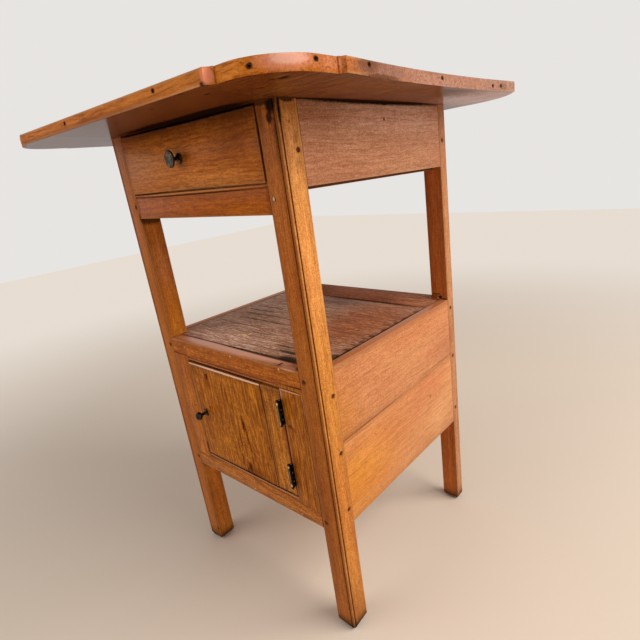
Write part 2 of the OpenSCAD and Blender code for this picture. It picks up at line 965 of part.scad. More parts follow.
module upper_hinge_stile_leaf() {
    color(dark_metal) hinge_leaf(hinge_z[0], 0);
}

module upper_hinge_door_leaf() {
    color(dark_metal) mirrored_at_pin() hinge_leaf(hinge_z[0], 1);
}

module upper_hinge_pin() {
    color(dark_metal) hinge_pin(hinge_z[0]);
}

module lower_hinge_stile_leaf() {
    color(dark_metal) hinge_leaf(hinge_z[1], 0);
}

module lower_hinge_door_leaf() {
    color(dark_metal) mirrored_at_pin() hinge_leaf(hinge_z[1], 1);
}

module lower_hinge_pin() {
    color(dark_metal) hinge_pin(hinge_z[1]);
}

module stile_screws() {
    color(dark_metal) for (z = hinge_z) leaf_screws(z, 0);
}

module door_screws() {
    color(dark_metal) mirrored_at_pin() for (z = hinge_z) leaf_screws(z, 0);
}

// Door knob: a turned head on a shank, with a spindle through the door
module door_knob() {
    back = tongue_gap + tongue_t + nut_t + spindle_end;
    color(dark_metal) translate([door_knob_x, door_face_y, door_knob_z]) rotate([90, 0, 0]) {
        translate([0, 0, -door_board_t - back]) cylinder(r = spindle_r, h = door_board_t + back + 1);
        rotate_extrude() polygon([
            [0, turn_gap], [5, turn_gap], [5, 1.8], [3, 3], [2.6, 8], [3.2, door_knob_out - 10],
            [door_knob_r - 1, door_knob_out - 8.5], [door_knob_r, door_knob_out - 6],
            [door_knob_r - 0.6, door_knob_out - 3], [door_knob_r - 2.6, door_knob_out - 1],
            [2, door_knob_out], [0, door_knob_out]
        ]);
    }
}

// Latch tongue: hangs down behind the door, turned it reaches behind the stile
module latch_tongue() {
    y = door_back + tongue_gap;
    color(dark_metal) difference() {
        union() {
            rod_y([door_knob_x, y, door_knob_z], tongue_w / 2 + 1, tongue_t);
            block(
                [door_knob_x - tongue_w / 2, y, door_knob_z - tongue_reach + tongue_w / 2],
                [door_knob_x + tongue_w / 2, y + tongue_t, door_knob_z]
            );
            rod_y([door_knob_x, y, door_knob_z - tongue_reach + tongue_w / 2], tongue_w / 2, tongue_t);
        }
        rod_y([door_knob_x, y - 1, door_knob_z], spindle_r + fit, tongue_t + 2);
    }
}

module nut(x, y, z) {
    difference() {
        translate([x, y, z]) rotate([-90, 30, 0]) cylinder(r = nut_r, h = nut_t, $fn = 6);
        rod_y([x, y - 1, z], spindle_r + fit, nut_t + 2);
    }
}

module latch_nut() {
    color(dark_metal) nut(door_knob_x, door_back + tongue_gap + tongue_t, door_knob_z);
}

// Drawer: tails on the sides, lapped at the front and through at the back
module tails(y, dir, l) {
    translate([0, y, 0]) for (k = [0:tail_count - 1]) {
        z = drawer_z + 5 + tail_pitch * (k + 0.5);
        polyline = [
            [-0.01, z - tail_root / 2], [l, z - tail_root / 2 - tail_slope],
            [l, z + tail_root / 2 + tail_slope], [-0.01, z + tail_root / 2]
        ];
        translate([drawer_x - drawer_side_t, 0, 0]) scale([1, dir, 1])
            rotate([90, 0, 90]) linear_extrude(drawer_side_t) polygon(polyline);
    }
}

module front_tails() {
    tails(drawer_front_in, -1, tail_l);
}

module back_tails() {
    tails(drawer_back_y - drawer_side_t, 1, drawer_side_t);
}

module drawer_bottom_board(grow) {
    x = drawer_x - drawer_side_t + drawer_groove;
    block(
        [-x - grow, drawer_front_in - drawer_groove - grow, drawer_groove_z],
        [x + grow, drawer_back_y + grow, drawer_back_z + grow]
    );
}

module drawer_front() {
    color(honey) difference() {
        block(
            [-drawer_x, drawer_face_y, drawer_front_z],
            [drawer_x, drawer_front_in, drawer_front_z + drawer_front_h]
        );
        both_sides() front_tails();
        drawer_bottom_board(bottom_play);
        rod_y([-drawer_knob_left, drawer_face_y - 1, drawer_knob_z], spindle_r + fit, drawer_front_t + 2);
    }
}

module drawer_side_right() {
    color(plain_wood) difference() {
        union() {
            block(
                [drawer_x - drawer_side_t, drawer_front_in, drawer_z],
                [drawer_x, drawer_back_y - drawer_side_t, drawer_z + drawer_side_h]
            );
            front_tails();
            back_tails();
            block(
                [drawer_x - drawer_side_t, drawer_back_y - drawer_side_t, drawer_z],
                [drawer_x, drawer_back_y, drawer_back_z]
            );
        }
        drawer_bottom_board(bottom_play);
    }
}

module drawer_side_left() {
    mirror([1, 0, 0]) drawer_side_right();
}

module drawer_back() {
    color(plain_wood) difference() {
        block(
            [-drawer_x, drawer_back_y - drawer_side_t, drawer_back_z],
            [drawer_x, drawer_back_y, drawer_z + drawer_side_h]
        );
        both_sides() back_tails();
        drawer_nail_set(nail_r + fit);
    }
}

module drawer_nail_set(r) {
    for (x = drawer_nail_x)
        rod_z([x, drawer_back_y - drawer_side_t / 2, drawer_groove_z], r, drawer_nail_l);
}

module drawer_bottom() {
    color(plain_wood) difference() {
        drawer_bottom_board(0);
        drawer_nail_set(nail_r + fit);
    }
}

module drawer_bottom_nails() {
    color(dark_metal) drawer_nail_set(nail_r);
}

// Drawer knob: a thin disc on a neck that rises from a domed collar
module drawer_knob() {
    back = nut_t + spindle_end;
    color(dark_metal) translate([-drawer_knob_left, drawer_face_y, drawer_knob_z]) rotate([90, 0, 0]) {
        translate([0, 0, -drawer_front_t - back]) cylinder(r = spindle_r, h = drawer_front_t + back);
        rotate_extrude() polygon([
            [0, 0], [7.2, 0], [7.2, 1.2], [6.4, 3.6], [4.6, 5.4], [2.9, 6.4],
            [2.6, drawer_knob_out - 5], [4, drawer_knob_out - 3.6],
            [drawer_knob_r - 1, drawer_knob_out - 2.8], [drawer_knob_r, drawer_knob_out - 2],
            [drawer_knob_r, drawer_knob_out - 1], [drawer_knob_r - 1, drawer_knob_out - 0.3],
            [0, drawer_knob_out]
        ]);
    }
}

module drawer_knob_nut() {
    color(dark_metal) nut(-drawer_knob_left, drawer_front_in, drawer_knob_z);
}

top_board();
front_leg_left();
front_leg_right();
back_leg_left();
back_leg_right();
side_apron_left();
side_apron_right();
back_apron();
drawer_rail();
drawer_runner_left();
drawer_runner_right();
drawer_guide_left();
drawer_guide_right();
guide_nails();
top_pegs();
rail_pegs();
side_pegs();
back_pegs();
shelf_front_board();
shelf_back_board();
shelf_cleat_left();
shelf_cleat_right();
cupboard_top_rail();
cupboard_bottom_rail();
latch_stile();
hinge_stile();
side_panel_left();
side_panel_right();
cupboard_back();
cupboard_floor();
floor_cleat_left();
floor_cleat_right();
rail_nails();
door_board();
door_strip();
door_batten_upper();
door_batten_lower();
batten_nails();
upper_hinge_stile_leaf();
upper_hinge_door_leaf();
upper_hinge_pin();
lower_hinge_stile_leaf();
lower_hinge_door_leaf();
lower_hinge_pin();
stile_screws();
door_screws();
door_knob();
latch_tongue();
latch_nut();
drawer_front();
drawer_side_left();
drawer_side_right();
drawer_back();
drawer_bottom();
drawer_bottom_nails();
drawer_knob();
drawer_knob_nut();
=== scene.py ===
# %% [markdown]
# # A commode washstand in honey-coloured, varnished wood
# The object is a small country washstand: a shaped top on four straight legs, one drawer,
# an open bay, and a low cupboard with a plank door. Its solids come from a CAD model and
# stay the frame of everything here. Each board is copied, its arrises are rounded as long
# use rounds them, and it gets a wood finish of its own. The hinges and the small ironwork are
# copied too, and the two knobs are turned anew.

# %% Load the frame
import json
import math

import bmesh
import bpy
from mathutils import Matrix, Vector
from mathutils.bvhtree import BVHTree


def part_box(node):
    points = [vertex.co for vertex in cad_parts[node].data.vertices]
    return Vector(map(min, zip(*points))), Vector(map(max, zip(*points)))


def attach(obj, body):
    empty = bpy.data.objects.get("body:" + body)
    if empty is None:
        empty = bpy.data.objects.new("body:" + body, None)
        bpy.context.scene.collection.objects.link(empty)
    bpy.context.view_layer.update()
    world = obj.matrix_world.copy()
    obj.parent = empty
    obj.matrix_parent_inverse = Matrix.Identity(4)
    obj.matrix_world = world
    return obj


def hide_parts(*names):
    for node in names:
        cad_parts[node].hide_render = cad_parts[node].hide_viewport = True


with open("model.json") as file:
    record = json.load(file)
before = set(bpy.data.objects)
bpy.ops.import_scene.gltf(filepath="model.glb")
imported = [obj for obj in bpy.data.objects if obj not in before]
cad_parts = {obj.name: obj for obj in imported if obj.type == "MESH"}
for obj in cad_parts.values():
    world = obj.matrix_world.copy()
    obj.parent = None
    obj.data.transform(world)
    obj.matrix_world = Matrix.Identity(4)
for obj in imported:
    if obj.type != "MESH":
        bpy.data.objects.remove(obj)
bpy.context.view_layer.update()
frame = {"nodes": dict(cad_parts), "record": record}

# %% [markdown]
# ## The camera
# The photograph was taken from close by, from the right and a little below the top's height,
# with a wide lens that looks down and is slightly rolled. The camera's place and its three axes
# are numbers fitted so that the object's edges fall close to where the photograph has them.

# %% The camera
PICTURE_SIZE = 640  # pixels, as the next two
FOCAL_LENGTH = 464.4
PICTURE_CENTRE = (364.3, 314.5)
SENSOR_WIDTH = 36  # millimetres
camera_right = Vector((0.78294719, 0.61308714, -0.10544121))
camera_up = Vector((-0.1126374, 0.30640598, 0.9452133))
camera_back = Vector((0.61180594, -0.72817548, 0.30895625))
turn = Matrix((camera_right, camera_up, camera_back)).transposed().to_4x4()
turn.translation = Vector((0.5747, -0.5248, 0.6719))

lens = bpy.data.cameras.new("Camera")
lens.sensor_width = SENSOR_WIDTH
lens.lens = FOCAL_LENGTH / PICTURE_SIZE * SENSOR_WIDTH
lens.shift_x = -(PICTURE_CENTRE[0] - PICTURE_SIZE / 2) / PICTURE_SIZE
lens.shift_y = (PICTURE_CENTRE[1] - PICTURE_SIZE / 2) / PICTURE_SIZE
lens.clip_start = 0.01
camera = bpy.data.objects.new("Camera", lens)
bpy.context.scene.collection.objects.link(camera)
camera.matrix_world = turn
bpy.context.scene.camera = camera
print("camera at", [round(v, 3) for v in camera.location])

# %% [markdown]
# ## Light
# In the photograph the right-hand side is lit, and the front lies in half shade.
# One large soft lamp stands at the right, a second, weak one opens the front, and an even, pale
# world fills the rest.

# %% Light
def soft_lamp(name, stand, aim, size, power, colour):
    """A square area lamp that stands at one point and looks at another."""
    lamp = bpy.data.lights.new(name, "AREA")
    lamp.energy = power
    lamp.size = size
    lamp.color = colour
    holder = bpy.data.objects.new(name, lamp)
    bpy.context.scene.collection.objects.link(holder)
    holder.location = stand
    holder.rotation_euler = (Vector(aim) - Vector(stand)).to_track_quat("-Z", "Y").to_euler()
    return holder


window = soft_lamp("window", (2.1, 0.7, 1.9), (0, 0, 0.4), 1.9, 66, (1.0, 0.96, 0.90))
room = soft_lamp("room", (-1.3, -2.2, 1.7), (0, 0, 0.35), 2.0, 22, (1.0, 0.97, 0.93))
bpy.context.scene.view_settings.view_transform = "Standard"
print("lamps", window.name, room.name)

# %% [markdown]
# ## Building node trees in code
# A material is a small graph. A few helpers keep the graphs short to write: they place a node
# with its values and links, reckon with numbers, vectors or colours, and open a shader node
# group with named sockets. A group is an effect that many materials share, so it is built once
# and placed with other values.

# %% Node helpers
def feed(tree, socket, value):
    """Links a socket to another node's output, or gives it a plain value."""
    if isinstance(value, bpy.types.NodeSocket):
        tree.links.new(value, socket)
    else:
        socket.default_value = value


def place(tree, kind, inputs=None, **settings):
    """Adds a node. inputs gives each named socket a value, or another node's socket to read."""
    node = tree.nodes.new(kind)
    for title, value in settings.items():
        setattr(node, title, value)
    for title, value in (inputs or {}).items():
        feed(tree, node.inputs[title], value)
    return node


def reckon(tree, operation, *values, clamp=False):
    """One step of arithmetic; each value is a number or a socket."""
    node = tree.nodes.new("ShaderNodeMath")
    node.operation = operation
    node.use_clamp = clamp
    for k, value in enumerate(values):
        feed(tree, node.inputs[k], value)
    return node.outputs[0]


def times(tree, first, second):
    """The product of two values."""
    return reckon(tree, "MULTIPLY", first, second)


def plus(tree, first, second):
    """The sum of two values."""
    return reckon(tree, "ADD", first, second)


def reckon_vector(tree, operation, *values):
    """One step of arithmetic with vectors."""
    node = tree.nodes.new("ShaderNodeVectorMath")
    node.operation = operation
    for k, value in enumerate(values):
        feed(tree, node.inputs[k], value)
    return node.outputs["Value" if operation in ("LENGTH", "DISTANCE") else "Vector"]


def mix_colour(tree, share, first, second, way="MIX"):
    """Mixes two colours by a share, which is a number or a mask. The node's sockets 6 and 7 are
    its two colours, and its output 2 is the mixed one."""
    node = tree.nodes.new("ShaderNodeMix")
    node.data_type = "RGBA"
    node.blend_type = way
    for k, value in ((0, share), (6, first), (7, second)):
        feed(tree, node.inputs[k], value)
    return node.outputs[2]


def ramp(tree, value, low, high):
    """A smooth rise from 0 at low to 1 at high; low may be the larger of the two."""
    node = place(tree, "ShaderNodeMapRange", interpolation_type="SMOOTHSTEP")
    tree.links.new(value, node.inputs["Value"])
    node.inputs["From Min"].default_value = low
    node.inputs["From Max"].default_value = high
    return node.outputs["Result"]


print("node helpers ready")

# %% [markdown]
# A node group keeps an effect in one place. Its sockets are made from short lists, and a material
# that uses the group gives some of them values or links of its own.

# %% Group helpers
SOCKETS = {"F": "NodeSocketFloat", "C": "NodeSocketColor", "V": "NodeSocketVector"}


def open_group(name, takes, gives):
    """A new node group. takes lists (title, kind, value), and gives lists (title, kind)."""
    tree = bpy.data.node_groups.new(name, "ShaderNodeTree")
    for title, kind, value in takes:
        socket = tree.interface.new_socket(name=title, in_out="INPUT", socket_type=SOCKETS[kind])
        socket.default_value = value
    for title, kind in gives:
        tree.interface.new_socket(name=title, in_out="OUTPUT", socket_type=SOCKETS[kind])
    return tree, tree.nodes.new("NodeGroupInput").outputs, tree.nodes.new("NodeGroupOutput")


def use_group(tree, group, inputs):
    """Places a group in a material."""
    node = tree.nodes.new("ShaderNodeGroup")
    node.node_tree = group
    for title, value in inputs.items():
        feed(tree, node.inputs[title], value)
    return node


print("group helpers ready for", ", ".join(SOCKETS.values()))

# %% [markdown]
# ## Background
# The backdrop is the world itself. What the camera sees of it, straight, in a gloss or through
# something clear, is one pale colour; what lights the object is a weaker, even one.

# %% Background
world = bpy.data.worlds.new("Studio")
bpy.context.scene.world = world
world.use_nodes = True
sky = world.node_tree
sky.nodes.clear()
fill = place(sky, "ShaderNodeBackground", {"Color": (1.0, 0.98, 0.96, 1), "Strength": 0.36})
backdrop = place(sky, "ShaderNodeBackground", {"Color": (0.80, 0.78, 0.76, 1), "Strength": 1.0})
rays = place(sky, "ShaderNodeLightPath").outputs
seen = reckon(sky, "MAXIMUM", rays["Is Camera Ray"], rays["Is Glossy Ray"])
seen = reckon(sky, "MAXIMUM", seen, rays["Is Transmission Ray"])
choose = place(sky, "ShaderNodeMixShader", {0: seen, 1: fill.outputs[0], 2: backdrop.outputs[0]})
place(sky, "ShaderNodeOutputWorld", {"Surface": choose.outputs[0]})
print("world", world.name)

# %% [markdown]
# ## Floor
# The floor is one wide sheet in a pale warm tone, and it keeps the shadow. With distance the
# camera sees it pass into a plain bright tone, so that it ends softly.

# %% Floor
FADE_START = 0.7  # metres from the middle
FADE_END = 2.4
bpy.ops.object.select_all(action="DESELECT")
bpy.ops.mesh.primitive_plane_add(size=9, location=(0, 0, 0))
floor = bpy.context.object
floor.name = "floor"
floor_finish = bpy.data.materials.new("pale_floor")
floor_finish.use_nodes = True
sheet = floor_finish.node_tree
floor_shader = sheet.nodes["Principled BSDF"]
floor_shader.inputs["Base Color"].default_value = (0.78, 0.66, 0.55, 1)
floor_shader.inputs["Roughness"].default_value = 0.65
floor_shader.inputs["Specular IOR Level"].default_value = 0.2
bright = place(sheet, "ShaderNodeEmission", {"Color": (0.80, 0.72, 0.64, 1)})
floor_place = place(sheet, "ShaderNodeTexCoord").outputs["Object"]
far_floor = ramp(sheet, reckon_vector(sheet, "LENGTH", floor_place), FADE_START, FADE_END)
far_floor = times(sheet, far_floor, place(sheet, "ShaderNodeLightPath").outputs["Is Camera Ray"])
joined = place(sheet, "ShaderNodeMixShader",
               {0: far_floor, 1: floor_shader.outputs[0], 2: bright.outputs[0]})
sheet.links.new(joined.outputs[0], sheet.nodes["Material Output"].inputs["Surface"])
floor.data.materials.append(floor_finish)
print("floor", floor.name)

# %% [markdown]
# ## Grain
# Wood is a bundle of fibres with yearly rings. On a board the rings show as long soft bands
# and arches, the fibres as fine streaks, and the pores as short dark flecks. Rings come from
# the distance to a wandering heart line beside the board. The rest is stretched noise: the group
# gets a place in millimetres with X along the board, squeezes it, and reads noise there.

# %% Group: grain
grain, taken, given = open_group(
    "Grain",
    [("Place", "V", (0, 0, 0)), ("Ring width", "F", 9.0), ("Wander", "F", 6.0)],
    [("Rings", "F"), ("Fibres", "F"), ("Flecks", "F"), ("Clouds", "F"), ("Mottle", "F"),
     ("Figure", "F"), ("Ripple", "F")],
)
slow = reckon_vector(grain, "MULTIPLY", taken["Place"], (0.010, 0.035, 0.035))
drift = place(grain, "ShaderNodeTexNoise", {"Vector": slow, "Scale": 1.0, "Detail": 2.0})
centred = reckon_vector(grain, "SUBTRACT", drift.outputs["Color"], (0.5, 0.5, 0.5))
push = place(grain, "ShaderNodeVectorMath", {0: centred}, operation="SCALE")
grain.links.new(taken["Wander"], push.inputs["Scale"])
heart = reckon_vector(grain, "ADD", taken["Place"], push.outputs["Vector"])
flat = reckon_vector(grain, "MULTIPLY", heart, (0.035, 1.0, 1.0))
far = reckon_vector(grain, "LENGTH", flat)
turns = reckon(grain, "DIVIDE", far, taken["Ring width"])
saw = reckon(grain, "FRACT", turns)
rings = reckon(grain, "POWER", saw, 2.2)
rings = times(grain, rings, ramp(grain, saw, 1.0, 0.9))
grain.links.new(rings, given.inputs["Rings"])


def stretched_noise(title, source, along, across, **settings):
    """Noise squeezed by two numbers, along and across the board; a small one makes it long."""
    squeezed = reckon_vector(grain, "MULTIPLY", source, (along, across, across))
    noise = place(grain, "ShaderNodeTexNoise", {"Vector": squeezed, "Scale": 1.0, **settings})
    grain.links.new(noise.outputs["Fac"], given.inputs[title])


stretched_noise("Fibres", heart, 0.014, 0.42, Detail=5.0, Roughness=0.65)
stretched_noise("Flecks", taken["Place"], 0.16, 0.75, Detail=2.0, Roughness=0.7)
stretched_noise("Clouds", taken["Place"], 0.006, 0.018, Detail=3.0)
stretched_noise("Figure", heart, 0.085, 0.42, Detail=2.0, Distortion=0.6)
stretched_noise("Ripple", taken["Place"], 0.22, 0.05, Detail=1.0, Distortion=0.5)
stretched_noise("Mottle", taken["Place"], 0.55, 0.85, Detail=3.0, Roughness=0.65)
print("group", grain.name, "with", len(grain.nodes), "nodes")

# %% [markdown]
# ## Wear at the arrises
# Hands and cloths rub a board's edges pale. The shader has to know how far a point
# is from them. Each copied board carries two attributes, its distance from the low and from
# the high corner of its box. On a face of the box one of the three distances is nought, and
# the middle one of the three is the distance to the nearest arris.

# %% Group: arris wear
arris, taken, given = open_group(
    "Arris wear",
    [("Place", "V", (0, 0, 0)), ("Reach", "F", 2.5)],
    [("Wear", "F"), ("Inner", "F")],
)
low_side = place(arris, "ShaderNodeAttribute", attribute_name="from_low")
high_side = place(arris, "ShaderNodeAttribute", attribute_name="from_high")
least = reckon_vector(arris, "MINIMUM", low_side.outputs["Vector"], high_side.outputs["Vector"])
parts = place(arris, "ShaderNodeSeparateXYZ", {"Vector": least})
dx, dy, dz = (parts.outputs[k] for k in ("X", "Y", "Z"))
middle = reckon(arris, "MAXIMUM", reckon(arris, "MINIMUM", dx, dy),
                reckon(arris, "MINIMUM", reckon(arris, "MAXIMUM", dx, dy), dz))
patchy = place(arris, "ShaderNodeTexNoise",
               {"Vector": taken["Place"], "Scale": 0.07, "Detail": 4.0, "Roughness": 0.65})
reach = times(arris, taken["Reach"], times(arris, patchy.outputs["Fac"], 2.0))
near = reckon(arris, "DIVIDE", middle, reach)
arris.links.new(ramp(arris, near, 1.0, 0.15), given.inputs["Wear"])
arris.links.new(ramp(arris, middle, 14.0, 1.5), given.inputs["Inner"])
print("group", arris.name)

# %% [markdown]
# ## Spots
# Knots, nail stains, old holes, and painted highlights and shadows, such as the dark halo round a knob,
# are all spots: a centre, three sizes and a ragged rim. The place is the object's own, in millimetres,
# so a spot stays on its board.

# %% Group: spot
spot, taken, given = open_group(
    "Spot",
    [("Place", "V", (0, 0, 0)), ("Centre", "V", (0, 0, 0)), ("Size", "V", (5, 5, 5)),
     ("Ragged", "F", 0.35), ("Soft", "F", 0.5)],
    [("Mask", "F")],
)
offset = reckon_vector(spot, "SUBTRACT", taken["Place"], taken["Centre"])
offset = reckon_vector(spot, "DIVIDE", offset, taken["Size"])
rough_rim = place(spot, "ShaderNodeTexNoise",
                  {"Vector": taken["Place"], "Scale": 0.35, "Detail": 3.0, "Roughness": 0.6})
shake = times(spot, reckon(spot, "SUBTRACT", rough_rim.outputs["Fac"], 0.5), taken["Ragged"])
away = plus(spot, reckon_vector(spot, "LENGTH", offset), times(spot, shake, 2.0))
inner = reckon(spot, "SUBTRACT", 1.0, taken["Soft"])
fade = place(spot, "ShaderNodeMapRange", interpolation_type="SMOOTHSTEP")
spot.links.new(away, fade.inputs["Value"])
spot.links.new(inner, fade.inputs["From Max"])
fade.inputs["From Min"].default_value = 1.0
spot.links.new(fade.outputs["Result"], given.inputs["Mask"])
print("group", spot.name)

# %% [markdown]
# ## Varnished wood
# The finish is old, amber varnish on a light wood. Its colour is a base tone, darkened in the
# rings, streaks and pores, and lightened along worn arrises. The group below turns the masks of
# the grain and the wear into a colour, a roughness and a height. The shader itself, with its
# thin coat, stays in each material.

# %% Group: varnish colour
varnish, taken, given = open_group(
    "Varnish",
    [("Tone", "C", (0.7, 0.25, 0.06, 1)), ("Rings", "F", 0.0), ("Fibres", "F", 0.5),
     ("Flecks", "F", 0.5), ("Clouds", "F", 0.5), ("Mottle", "F", 0.5), ("Figure", "F", 0.5),
     ("Wear", "F", 0.0), ("Ring depth", "F", 0.25), ("Fibre depth", "F", 0.35),
     ("Fleck depth", "F", 0.4), ("Cloud depth", "F", 0.5), ("Mottle depth", "F", 0.4),
     ("Figure depth", "F", 0.3), ("Ripple", "F", 0.5), ("Ripple depth", "F", 0.0),
     ("Wear light", "F", 0.35), ("Seam depth", "F", 0.9), ("Gloss", "F", 0.34)],
    [("Color", "C"), ("Roughness", "F"), ("Height", "F")],
)


def deepen(shown, mask, low, high, depth, towards):
    """Mixes a shade in where a mask runs from low to high."""
    share = times(varnish, ramp(varnish, taken[mask], low, high), depth)
    return mix_colour(varnish, share, shown, towards)


dark = mix_colour(varnish, 1.0, taken["Tone"], (0.46, 0.33, 0.22, 1), "MULTIPLY")
burnt = mix_colour(varnish, 1.0, taken["Tone"], (0.20, 0.12, 0.09, 1), "MULTIPLY")
pale = mix_colour(varnish, 1.0, taken["Tone"], (1.32, 1.42, 1.5, 1), "MULTIPLY")
rubbed_pale = mix_colour(varnish, 0.35, taken["Tone"], (1.0, 0.62, 0.34, 1))
rosy = mix_colour(varnish, 1.0, taken["Tone"], (0.86, 0.68, 0.66, 1), "MULTIPLY")
shown = deepen(taken["Tone"], "Clouds", 0.38, 0.66, taken["Cloud depth"], rosy)
shown = mix_colour(varnish, times(varnish, taken["Rings"], taken["Ring depth"]), shown, dark)
PALE_END = 0.34
for mask, calm, dark_end, depth, pale_share in (
        ("Figure", 0.48, 0.64, taken["Figure depth"], 0.8),
        ("Ripple", 0.48, 0.66, taken["Ripple depth"], 0.0),
        ("Fibres", 0.49, 0.66, taken["Fibre depth"], 0.5),
        ("Mottle", 0.48, 0.64, taken["Mottle depth"], 0.8)):
    shown = deepen(shown, mask, calm, dark_end, depth, dark)
    if pale_share:
        shown = deepen(shown, mask, calm, PALE_END, times(varnish, depth, pale_share), pale)
shown = deepen(shown, "Flecks", 0.62, 0.76, taken["Fleck depth"], burnt)
shown = mix_colour(varnish, times(varnish, taken["Wear"], taken["Wear light"]), shown, rubbed_pale)
seams = place(varnish, "ShaderNodeAttribute", attribute_name="seam").outputs["Fac"]
shown = mix_colour(varnish, times(varnish, seams, taken["Seam depth"]), shown, burnt)
varnish.links.new(shown, given.inputs["Color"])
uneven = reckon(varnish, "SUBTRACT", taken["Mottle"], 0.5)
sheen = plus(varnish, taken["Gloss"], times(varnish, uneven, 0.35))
sheen = plus(varnish, sheen, times(varnish, ramp(varnish, taken["Flecks"], 0.55, 0.75), 0.15))
sheen = plus(varnish, sheen, times(varnish, seams, 0.4))
varnish.links.new(reckon(varnish, "MAXIMUM", sheen, 0.12), given.inputs["Roughness"])
relief = times(varnish, taken["Fibres"], 0.4)
relief = plus(varnish, relief, times(varnish, taken["Mottle"], 0.25))
relief = plus(varnish, relief, times(varnish, taken["Figure"], 0.5))
sunk = times(varnish, ramp(varnish, taken["Flecks"], 0.6, 0.75), 0.3)
relief = reckon(varnish, "SUBTRACT", relief, sunk)
varnish.links.new(relief, given.inputs["Height"])
print("group", varnish.name, "with", len(varnish.nodes), "nodes")

# %% [markdown]
# ## One material per board
# No two boards were cut from the same place of a tree. Each gets its own material, placed from
# the same groups: a Mapping node turns the grain along the board and shifts it to a fresh part
# of the pattern, and the tone follows the photograph where it shows the board.

# %% Colours and places
TURNS = {"x": (0, 0, 0), "y": (0, 0, -math.pi / 2), "z": (0, math.pi / 2, 0)}
# Dark colours for dirt, holes and joints; in many places they also paint shade and shadow.
BURNT = (0.020, 0.008, 0.004, 1)
DIRT_AND_SHADE = (0.11, 0.035, 0.010, 1)
DARK_BELOW = 0.2  # a colour whose largest part is below this counts as dirt


def tone(red, green, blue):
    """A display colour, 0 to 255, as the linear colour that the shader takes."""
    shares = [v / 255 for v in (red, green, blue)]
    linear = [((v + 0.055) / 1.055) ** 2.4 if v > 10 / 255 else v / 12.92 for v in shares]
    return (*linear, 1.0)


def own_place(tree):
    """The object's own coordinates in millimetres."""
    where = place(tree, "ShaderNodeTexCoord")
    return reckon_vector(tree, "MULTIPLY", where.outputs["Object"], (1000, 1000, 1000))


def facing_share(tree, axis, low, high):
    """A mask of the faces that look along an axis: 0 at low, 1 at high."""
    normal = place(tree, "ShaderNodeNewGeometry").outputs["True Normal"]
    return ramp(tree, place(tree, "ShaderNodeSeparateXYZ", {"Vector": normal}).outputs[axis], low, high)


print("dark colours", BURNT, DIRT_AND_SHADE)

# %% [markdown]
# A knot pushes the place that the grain reads, so that the grain bends round it. Spots come from
# a list: centre and size in millimetres, strength, colour and, where wanted, a softness. Where
# many of them lie on one flat face, short rows are enough, and a helper adds what they share.

# %% Knots and spots
def bent_place(tree, here, along, shift, knots):
    """The place that the grain reads: turned along the board, and pushed aside round a knot."""
    turned = place(tree, "ShaderNodeMapping", {"Vector": here, "Rotation": TURNS[along], "Location": shift})
    seat = turned.outputs["Vector"]
    for centre, size, push_by in knots:
        bend = use_group(tree, spot, {"Place": here, "Centre": centre, "Size": size,
                                      "Ragged": 0.0, "Soft": 1.0})
        pushed = times(tree, bend.outputs["Mask"], push_by)
        sideways = place(tree, "ShaderNodeCombineXYZ", {"Y": pushed, "Z": pushed})
        seat = reckon_vector(tree, "ADD", seat, sideways.outputs["Vector"])
    return seat


def spot_share(tree, here, centre, size, strength, softness=0.5):
    """How strongly a spot shows at each point."""
    mark = use_group(tree, spot, {"Place": here, "Centre": centre, "Size": size, "Soft": softness})
    return times(tree, mark.outputs["Mask"], strength)


def flat_marks(axis, level, deep, rows):
    """Spots on one flat face, which lies at a level of the axis 0, 1 or 2. Each row gives the two
    other coordinates, the two other sizes, the strength, the colour and perhaps the softness."""
    marks = []
    for first, second, wide, high, *rest in rows:
        centre = [first, second]
        centre.insert(axis, level)
        size = [wide, high]
        size.insert(axis, deep)
        marks.append((tuple(centre), tuple(size), *rest))
    return marks


print("knots and spots ready")

# %% [markdown]
# A spot with a softness and a light colour is an area: it tints the wood before the grain is
# drawn, so that the grain stays visible. Then come the varnish, some grime near the arrises, and
# every other spot, painted over the grain. A dark spot takes away the coat and leaves the wood dull.

